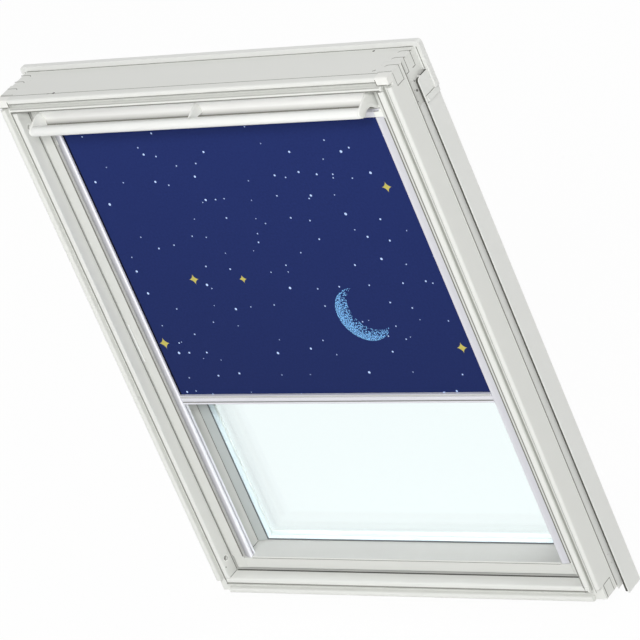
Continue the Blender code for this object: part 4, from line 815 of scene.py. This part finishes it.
def middle_arm():
    saddle = arc(BAR_DEPTH, BAR_HEIGHT, BAR_RADIUS + 0.3, 105, 0, 14)
    foot = arc(BAR_DEPTH, BAR_HEIGHT, COVE_RADIUS - 0.3, -2, 33, 10)
    outline = smooth_line(arm_front()[1:])[:-1] + saddle + foot
    half = MIDDLE_ARM_THICK / 2
    low, high = MIDDLE_ARM_X - half, MIDDLE_ARM_X + half
    run_x("arm_middle", outline, low, high, ARM_EDGE, ARM_LOOKS, ["middle_arm"])


control_bar()
cove()
middle_arm()
for side, tag in SIDES:
    end_arm(side, tag)


# Blind: side channels, printed cloth and its winding
CHANNEL_INNER, CHANNEL_OUTER, CHANNEL_BACK = 315.3, 332.7, 38.0
CHANNEL_LOW, CHANNEL_HIGH, CHANNEL_EASE = 55.4, 893.6, 0.15
SLOT_END, SLOT_FRONT, SLOT_BACK = 328.8, 31.2, 34.8
# Crown of the channel's room side: how far from its inner edge, and the depth.
CROWN = ((0.5, 27.6), (2.6, 26.7), (8, 27.6), (13, 29.4), (CHANNEL_OUTER - CHANNEL_INNER, 32.0))
COLUMNS = 24


def crowned_channel(side, tag):
    """Extrusion crowned towards the room, with a slot for the cloth's edge."""
    crown = smooth_line([(CHANNEL_INNER + x, d) for x, d in CROWN])
    slot = [(CHANNEL_INNER, SLOT_BACK), (SLOT_END, SLOT_BACK)]
    slot += [(SLOT_END, SLOT_FRONT), (CHANNEL_INNER, SLOT_FRONT)]
    back = [(CHANNEL_OUTER, CHANNEL_BACK), (CHANNEL_INNER, CHANNEL_BACK)]
    outline = [(side * x, d) for x, d in [*crown, *back, *slot, (CHANNEL_INNER, 28.3)]]
    run = (outline, CHANNEL_LOW, CHANNEL_HIGH, [(0.0, CHANNEL_EASE), (CHANNEL_EASE, 0.0)])
    looks = (CHANNELS[tag], "sash", "anodised")
    eased_run(f"channel_{tag}", *run, lambda z, x, d: at(x, d, z), looks, [f"side_channel_{tag}"])


for side, tag in SIDES:
    crowned_channel(side, tag)


def hanging_cloth():
    """Flat cloth, printed in front and coated behind, with rows only at its top and foot."""
    work = bmesh.new()
    uv = work.loops.layers.uv.new("cloth")
    for depth, turned_round in ((CLOTH_DEPTH, False), (CLOTH_DEPTH + CLOTH_THICK, True)):
        for i in range(COLUMNS):
            left, right = [-CLOTH_HALF + 2 * CLOTH_HALF * k / COLUMNS for k in (i, i + 1)]
            foot = [at(x, depth, CLOTH_LOW) for x in (left, right)]
            corners = foot + [at(x, depth, CLOTH_TOP) for x in (right, left)]
            if turned_round:
                corners.reverse()
            face = work.faces.new([work.verts.new(c) for c in corners])
            face.material_index = int(turned_round)
    bmesh.ops.remove_doubles(work, verts=work.verts, dist=1e-7)
    rim = [e for e in work.edges if e.is_boundary]
    bmesh.ops.bridge_loops(work, edges=rim)
    for face in work.faces:
        for loop in face.loops:
            loop[uv].uv = (loop.vert.co.x + CLOTH_HALF * MM, loop.vert.co.z - CLOTH_LOW * MM)
    cloth = piece("hanging_cloth", work, PRINT, None, "cloth", ["blackout_cloth"], smooth=False)
    cloth.data.materials.append(COATING)
    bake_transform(cloth)


ROLL_DEPTH, ROLL_HEIGHT = 46.0, 892.5
ROLL_INNER, ROLL_OUTER = 10.3, 12.6
ROLL_TURNS, TURN_STEPS = 6, 36


def wound_cloth():
    """The cloth on the tube, wound in a spiral."""
    work = bmesh.new()
    pitch = (ROLL_OUTER - ROLL_INNER) / ROLL_TURNS
    thick = pitch * 0.72
    steps = ROLL_TURNS * TURN_STEPS

    def line(offset):
        points = []
        for i in range(steps + 1):
            turn = i / steps
            radius = ROLL_INNER + offset + (ROLL_OUTER - ROLL_INNER - thick) * turn
            angle = math.pi + 2 * math.pi * ROLL_TURNS * (turn - 1)
            spot = (ROLL_DEPTH + radius * math.cos(angle), ROLL_HEIGHT + radius * math.sin(angle))
            points.append(spot)
        return points

    low, high = -CLOTH_HALF, CLOTH_HALF
    rings = []
    for inner, outer in zip(line(0.0), line(thick)):
        rings.append([at(low, *inner), at(low, *outer), at(high, *outer), at(high, *inner)])
    loft(work, rings)
    uv = work.loops.layers.uv.new("cloth")
    for face in work.faces:
        for loop in face.loops:
            loop[uv].uv = (loop.vert.co.x + CLOTH_HALF * MM, loop.vert.co.z + loop.vert.co.y)
    piece("wound_cloth", work, PRINT, "roller", "cloth", ["cloth_roll"])


hanging_cloth()
wound_cloth()


# Lines, marks and shades
def ribbon(work, points, facing, width):
    """A thin line along points on a surface, a hair proud of it and let into it."""
    out = Vector(facing).normalized()
    line = [at(*p) for p in points]
    steps = [(b - a).normalized() for a, b in zip(line, line[1:])]
    rings = []
    for i, here in enumerate(line):
        before, after = steps[max(0, i - 1)], steps[min(i, len(steps) - 1)]
        along = (before + after).normalized()
        across = along.cross(out) * (width / 2 * MM / max(0.5, along.dot(after)))
        low, high = here - out * SUNK * MM, here + out * PROUD * MM
        rings.append([low - across, low + across, high + across, high - across])
    loft(work, rings)


def seams(name, runs, looks):
    """Lines of one body; each run has its facing, its width and its points."""
    work = bmesh.new()
    for facing, width, points in runs:
        ribbon(work, points, facing, width)
    piece(name, work, *looks, smooth=False)


def level(facing, width, half, depth, z):
    """A run across the window, as long on either side of its middle."""
    return facing, width, [(-half, depth, z), (half, depth, z)]


def upright(facing, width, x, depth, start, end):
    return facing, width, [(x, depth, start), (x, depth, end)]


def discs(name, marks, looks):
    """Round marks on surfaces; each has its facing, its radius and its place."""
    work = bmesh.new()
    for facing, radius, place in marks:
        out = Vector(facing).normalized()
        turn = out.to_track_quat("Z", "Y")
        rim = [turn @ Vector((math.cos(a), math.sin(a), 0)) * radius * MM for a in DISC_ANGLES]
        loft(work, [[at(*place) + out * lift * MM + r for r in rim] for lift in (-SUNK, PROUD)])
    piece(name, work, *looks, smooth=False)


TOP, FRONT, RIGHTWARD, LEFTWARD = (0, 0, 1), (0, -1, 0), (1, 0, 0), (-1, 0, 0)
DISC_ANGLES = [math.pi * i / 10 for i in range(20)]
ON_FRAME, ON_SASH = ("frame", "painted_frame"), ("sash", "painted_sash")

# Outer side of the frame, the same where it steps in under the covers, and the inner side.
FRAME_SIDE, STEPPED_SIDE, REVEAL = 390.0, 386.5, 358.5
STEP_DEPTH = 46.0
FRAME_TOP = 978.0
# Depths of each finger of the comb joint.
FINGERS, FINGER_FOOT = ((17.5, 36.5), (46.5, 57.5), (68.5, 76.5)), 952.5
# Edge, angle where the shade starts on the round, and its width on the flat face.
JAMB_LIPS = ((-371.5, 0, 1.3), (358.5, 4, 0.5), (380.0, 22, 0))
RAIL_LIPS = ((968.0, 20, 0), (952.5, 5, 0), (18.0, 0, 0.7))
JAMB_SPAN, RAIL_SPAN = (19, 956), (-367, 367)
SHADE_END = 78
COVER_GAP_X, COVER_GAP = 390.6, 6.6
COVER_FRONT, COVER_TOP, COVER_ROUND = 62, 935, 4
LIP_ROUND = 3.5
BLOCK_INNER, BLOCK_BACK, BLOCK_FOOT = 367.4, 13.2, 965.2
# Radius, depth and height of each.
HIGH_HOLES = ((1.3, 60.2, 934.3), (2.1, 57.9, 919.0), (1.3, 50.1, 903.8))
LOW_HOLES = ((1.9, 59.0, 51.2), (1.3, 60.2, 35.5))
BUSH_DEPTH, BUSH_HEIGHT, BORE = 13.2, 64.0, 3.8
BORE_RIM, BORE_SHADE, SHADE_SIDE = 0.1, 1.5, math.radians(150)
STILE_EDGE, STILE_REVEAL = 354.4, 328.5
STILE_LOW, STILE_HIGH = 60, 905


def comb_joint(side):
    """Painted shade lines where the rail's fingers come through the jamb, on the top and down the side.
    """
    out, end = (side, 0, 0), side * (FRAME_SIDE - 0.2)
    runs = []
    for low, high in FINGERS:
        face = side * (FRAME_SIDE if high < STEP_DEPTH else STEPPED_SIDE)
        bend = [(side * 367, high - 4, FRAME_TOP), (side * 370, high - 0.8, FRAME_TOP)]
        runs.append((TOP, 1.1, [*bend, (side * 374, high, FRAME_TOP), (end, high, FRAME_TOP)]))
        corner = [(face, high, FINGER_FOOT), (face, low, FINGER_FOOT)]
        runs.append((out, 1.1, [(face, high, FRAME_TOP - 0.2), *corner]))
    runs.append((TOP, 0.9, [(side * 364, 16.5, FRAME_TOP), (end, 17.5, FRAME_TOP)]))
    runs.append(upright(out, 0.8, side * FRAME_SIDE, 17.5, 975, FINGER_FOOT))
    return runs


def lip_band(work, edge, first, flat, place):
    """Band on a lip's round, from its flat face to where the round turns away."""
    centre = edge + SANDED_ROUND
    angles = [math.radians(first + (SHADE_END - first) * i / 6) for i in range(7)]
    ring = []
    for radius, order in ((SANDED_ROUND + PROUD, angles), (SANDED_ROUND - SUNK, angles[::-1])):
        ring += [(centre - radius * math.sin(a), SANDED_ROUND - radius * math.cos(a)) for a in order]
    if flat:
        ring = [(centre + flat, -PROUD), *ring, (centre + flat, SUNK)]
    loft(work, [[place(across, depth, end) for across, depth in ring] for end in (0, 1)])


def lip_shades():
    """Painted shade on the sides of the lips' rounds that turn away from the light, and on the lining
    groove.
    """
    work = bmesh.new()
    for lip in JAMB_LIPS:
        lip_band(work, *lip, lambda x, depth, end: at(x, depth, JAMB_SPAN[end]))
    for lip in RAIL_LIPS:
        lip_band(work, *lip, lambda z, depth, end: at(RAIL_SPAN[end], depth, z))
    piece("lip_shades", work, LIP_SHADE, *ON_FRAME, smooth=False)
    runs = [upright(RIGHTWARD, 4.8, 371.5, 6.5, 20, 957), level(FRONT, 2.0, 368, 0.3, 960.2)]
    seams("groove_shades", runs, (GROOVE_SHADE, *ON_FRAME))


def frame_lines():
    # Dark lines along the frame's joints, gaps and edges: painted shade.
    runs = [
        (TOP, 0.9, [(-388, 14, FRAME_TOP), (366, 14, FRAME_TOP)]),
        level(TOP, 1.5, 386, 87.8, FRAME_TOP),
        # Two short dark marks in the rail's top: painted shade in two small notches.
        (TOP, 1.6, [(-290, 13.4, FRAME_TOP), (-285, 13.9, FRAME_TOP)]),
        (TOP, 1.8, [(351.5, 20.4, FRAME_TOP), (356.3, 24, FRAME_TOP)]),
        # Painted shade in the gaps between the sash and the jambs, and in the bottom rail's joint.
        upright(RIGHTWARD, 1.4, -REVEAL, 25.7, 32, 951),
        upright(LEFTWARD, 3.0, REVEAL, 26.2, 32, 951),
        (RIGHTWARD, 0.9, [(-REVEAL, 4, 30.8), (-REVEAL, 25.5, 30.8)]),
    ]
    for side in BOTH:
        out, face, lip, clip = (side, 0, 0), side * FRAME_SIDE, side * 366.8, side * 394.5
        runs += comb_joint(side)
        runs += [
            upright(out, 1.8, face, 44.2, 2, 976),
            # Bottom rail's finger in the jamb's foot.
            upright(out, 1.5, face, 13.8, 1.5, 24),
            (out, 1.0, [(face, 13.8, 24.4), (face, 34.5, 24.4), (face, 34.5, 0.8)]),
            # Painted shade along the hood's front fold, and the clip's two edges.
            upright(FRONT, 1.3, side * 391, 88.6, 938, 977),
            (out, 0.9, [(clip, 61, 894.2), (clip, 96, 894.2)]),
            (out, 0.9, [(clip, 61, 905.2), (clip, 96, 905.2)]),
            # The corner of the outer lip is the jamb's own end, outlined in painted shade.
            upright(FRONT, 1.3, lip, 0, 965, 974.6),
            (FRONT, 1.0, [(lip, 0, 964.6), (side * 386.4, 0, 964.6)]),
        ]
    seams("frame_joint_lines", runs, (JOINT_SHADE, *ON_FRAME))


def cover_gap(side):
    """Shadow between the frame and its side cover, up the front and round over the corner."""
    x, shoulder = side * COVER_GAP_X, COVER_TOP - COVER_ROUND
    middle = COVER_FRONT + COVER_ROUND
    runs = [upright(FRONT, COVER_GAP, x, COVER_FRONT, -24, shoulder)]
    turn = arc(middle, shoulder, COVER_ROUND, 180, 90, 6)
    for i, (one, two) in enumerate(zip(turn, turn[1:])):
        angle = math.radians(180 - 15 * (i + 0.5))
        facing = (0, math.cos(angle), math.sin(angle))
        runs.append((facing, COVER_GAP, [(x, *one), (x, *two)]))
    runs.append((TOP, COVER_GAP, [(x, middle, COVER_TOP), (x, 90, COVER_TOP)]))
    return runs


def shadow_gaps():
    """Painted shadow in the deep gaps at the sill, under the side covers and at the jambs' feet."""
    runs = [level(TOP, 3.4, 357, 25.4, 30.5)]
    for side in BOTH:
        foot = [(side * STEPPED_SIDE, depth, 1.4) for depth in (47.5, 60)]
        runs += [*cover_gap(side), ((side, 0, 0), 2.0, foot)]
    seams("shadow_gaps", runs, (GAP_SHADOW, *ON_FRAME))


def corner_highlight_blocks():
    """Paler paint over the jambs' ends at the frame's upper corners, over the lip's round: a painted
    highlight.
    """
    work = bmesh.new()
    turn = arc(LIP_ROUND, FRAME_TOP - LIP_ROUND, LIP_ROUND + PROUD, 90, 180, 6)
    outline = [(BLOCK_BACK, FRAME_TOP + PROUD), *turn, (-PROUD, BLOCK_FOOT), (BLOCK_BACK, BLOCK_FOOT)]
    for side in BOTH:
        ends = [side * x for x in (BLOCK_INNER, FRAME_SIDE + PROUD)]
        loft(work, [[at(x, d, z) for d, z in outline] for x in ends])
    piece("corner_highlight_blocks", work, CORNER_HIGHLIGHT, *ON_FRAME)


def nail_holes():
    """Dark discs of painted shade in the pilot holes in both outer sides, the nail holes in the top
    rail and one in the left jamb.
    """
    marks = []
    for side in BOTH:
        marks += [((side, 0, 0), r, (side * STEPPED_SIDE, d, z)) for r, d, z in HIGH_HOLES + LOW_HOLES]
    marks += [(TOP, 2.3, (-277, 14.8, FRAME_TOP)), (TOP, 2.1, (316.5, 81.6, FRAME_TOP))]
    marks.append((RIGHTWARD, 1.2, (-REVEAL, 3.9, 51.5)))
    discs("nail_holes", marks, (GAP_SHADOW, *ON_FRAME))


def bush_mouth():
    """Shaded rim of the cleaning bush's bore, widest on the side away from the light."""
    work = bmesh.new()
    low, high = -REVEAL - SUNK, -REVEAL + PROUD
    rings = []
    for x, share in ((low, 1), (high, 1), (high, 0), (low, 0)):
        ring = []
        for a in DISC_ANGLES:
            shade = BORE_RIM + BORE_SHADE * max(0.0, math.cos(a - SHADE_SIDE))
            r = BORE + share * shade
            ring.append(at(x, BUSH_DEPTH + r * math.cos(a), BUSH_HEIGHT + r * math.sin(a)))
        rings.append(ring)
    loft(work, [*rings, rings[0]], closed_ends=False)
    piece("bush_mouth", work, GAP_SHADOW, "frame", "plastic", smooth=False)


def sash_lines():
    """Painted shade in the gaps beside the channels, beads and sill, and strips of the stiles' paint
    over their outer edges, narrowing the gap beside each.
    """
    runs = [upright(FRONT, 2.4, side * 333.7, 26, 58, 893) for side in BOTH]
    runs.append(level(FRONT, 0.9, 314, 26, 55.2))
    for side in BOTH:
        inwards, face = (-side, 0, 0), side * STILE_REVEAL
        runs.append(upright(inwards, 1.2, face, 69.4, STILE_LOW, STILE_HIGH))
        runs.append((inwards, 0.9, [(face, 38, 58.4), (face, 69, 58.4)]))
    seams("stile_channel_gaps", runs, (JOINT_SHADE, *ON_SASH))
    edges = [upright(FRONT, 2.4, side * STILE_EDGE, 26.1, STILE_LOW, STILE_HIGH) for side in BOTH]
    seams("stile_edges", edges, (SASH_Z, *ON_SASH))


def bar_lines():
    # Painted shade in the bottom bar's two grooves and on its top lip.
    runs = [level(FRONT, 1.1, 314, 28.3, z) for z in (380.4, 371.6)]
    seams("blind_bar_groove_shade", runs, (JOINT_SHADE, "blind", "anodised"))
    lip = level(FRONT, 2.0, 314, 27.5, 382.8)
    seams("blind_bar_lip_shade", [lip], (GROOVE_SHADE, "blind", "anodised"))


def cove_foot_shadow():
    """Painted shadow: a dark strip under the cove's foot, behind the bar."""
    seams("cove_foot_shadow", [level(FRONT, 5.0, BAR_END, 21, 917)], (JOINT_SHADE, "control_flap", "rubber"))


lip_shades()
frame_lines()
shadow_gaps()
corner_highlight_blocks()
nail_holes()
bush_mouth()
sash_lines()
bar_lines()
cove_foot_shadow()


# Screws that hold the covers
HEAD_RADIUS, HEAD_HEIGHT, HEAD_TAPER = 2.9, 1.2, 0.72
RECESS_LONG, RECESS_THIN = 2.4, 0.25


def screw_tree():
    """Pan-head screws with a cross recess, one on each point, standing along its direction."""
    sizes = {"Head radius": HEAD_RADIUS, "Head height": HEAD_HEIGHT, "Recess": RECESS_LONG}
    tree, start = geometry_group("cover_screws", {label: size * MM for label, size in sizes.items()})
    radius, height, recess = start[1], start[2], start[3]
    cone = {"Vertices": 20, "Radius Bottom": radius, "Depth": height}
    cone["Radius Top"] = maths(tree, "MULTIPLY", radius, HEAD_TAPER)
    head = add(tree, "GeometryNodeMeshCone", cone)
    plate = add(tree, "GeometryNodeSetMaterial", {0: head.outputs[0], "Material": ZINC})
    thin = maths(tree, "MULTIPLY", recess, RECESS_THIN)
    lift = add(tree, "ShaderNodeCombineXYZ", {2: maths(tree, "MULTIPLY_ADD", thin, -0.4, height)})
    parts = [plate.outputs[0]]
    # Two dark bars make the cross recess: painted shade in it.
    for wide, deep in ((recess, thin), (thin, recess)):
        size = add(tree, "ShaderNodeCombineXYZ", {0: wide, 1: deep, 2: thin})
        bar = add(tree, "GeometryNodeMeshCube", {"Size": size.outputs[0]})
        sunk = {0: bar.outputs[0], "Translation": lift.outputs[0]}
        placed = add(tree, "GeometryNodeTransform", sunk)
        dark = add(tree, "GeometryNodeSetMaterial", {0: placed.outputs[0], "Material": JOINT_SHADE})
        parts.append(dark.outputs[0])
    joined = add(tree, "GeometryNodeJoinGeometry")
    for part in parts:
        tree.links.new(part, joined.inputs[0])
    named = {"Name": "facing"}
    facing = add(tree, "GeometryNodeInputNamedAttribute", named, data_type="FLOAT_VECTOR")
    turn = add(tree, "FunctionNodeAlignRotationToVector", {"Vector": facing.outputs[0]}, axis="Z")
    heads = {"Points": start[0], "Instance": joined.outputs[0], "Rotation": turn.outputs[0]}
    placed = add(tree, "GeometryNodeInstanceOnPoints", heads)
    real = add(tree, "GeometryNodeRealizeInstances", {0: placed.outputs[0]})
    add(tree, "NodeGroupOutput", {0: real.outputs[0]})
    return tree


SCREW_TREE = screw_tree()


def screws(name, places, body):
    """A cover's screws, their heads towards the outside."""
    points = bpy.data.meshes.new(name + "_points")
    points.from_pydata([at(*p) for p in places], [], [])
    direction = points.attributes.new("facing", "FLOAT_VECTOR", "POINT")
    direction.data.foreach_set("vector", [v for _ in places for v in (0, 1, 0)])
    seeds = put(name + "_points", points)
    modify(seeds, "screws", "NODES", node_group=SCREW_TREE)
    bpy.context.view_layer.update()
    graph = bpy.context.evaluated_depsgraph_get()
    mesh = bpy.data.meshes.new_from_object(seeds.evaluated_get(graph))
    bpy.data.objects.remove(seeds)
    made = put(name, mesh)
    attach(made, body)


# The heads are let into the covers, and stay within 0.1 mm of the solids' depth.
COVER_BACK, SASH_COVER_BACK = 97.2, 97.32
hood_places = [(x, COVER_BACK, 968.0) for x in (-300, -100, 100, 300)]
cover_places = [(s * 366, COVER_BACK, z) for s in BOTH for z in (60, 340, 640, 900)]
sash_places = [(s * 344, SASH_COVER_BACK, z) for s in BOTH for z in (60, 300, 680, 925)]
screws("hood_screws", hood_places, "frame")
screws("cover_screws", cover_places, "frame")
screws("sash_cover_screws", sash_places, "sash")


bpy.context.scene.view_settings.view_transform = "Standard"
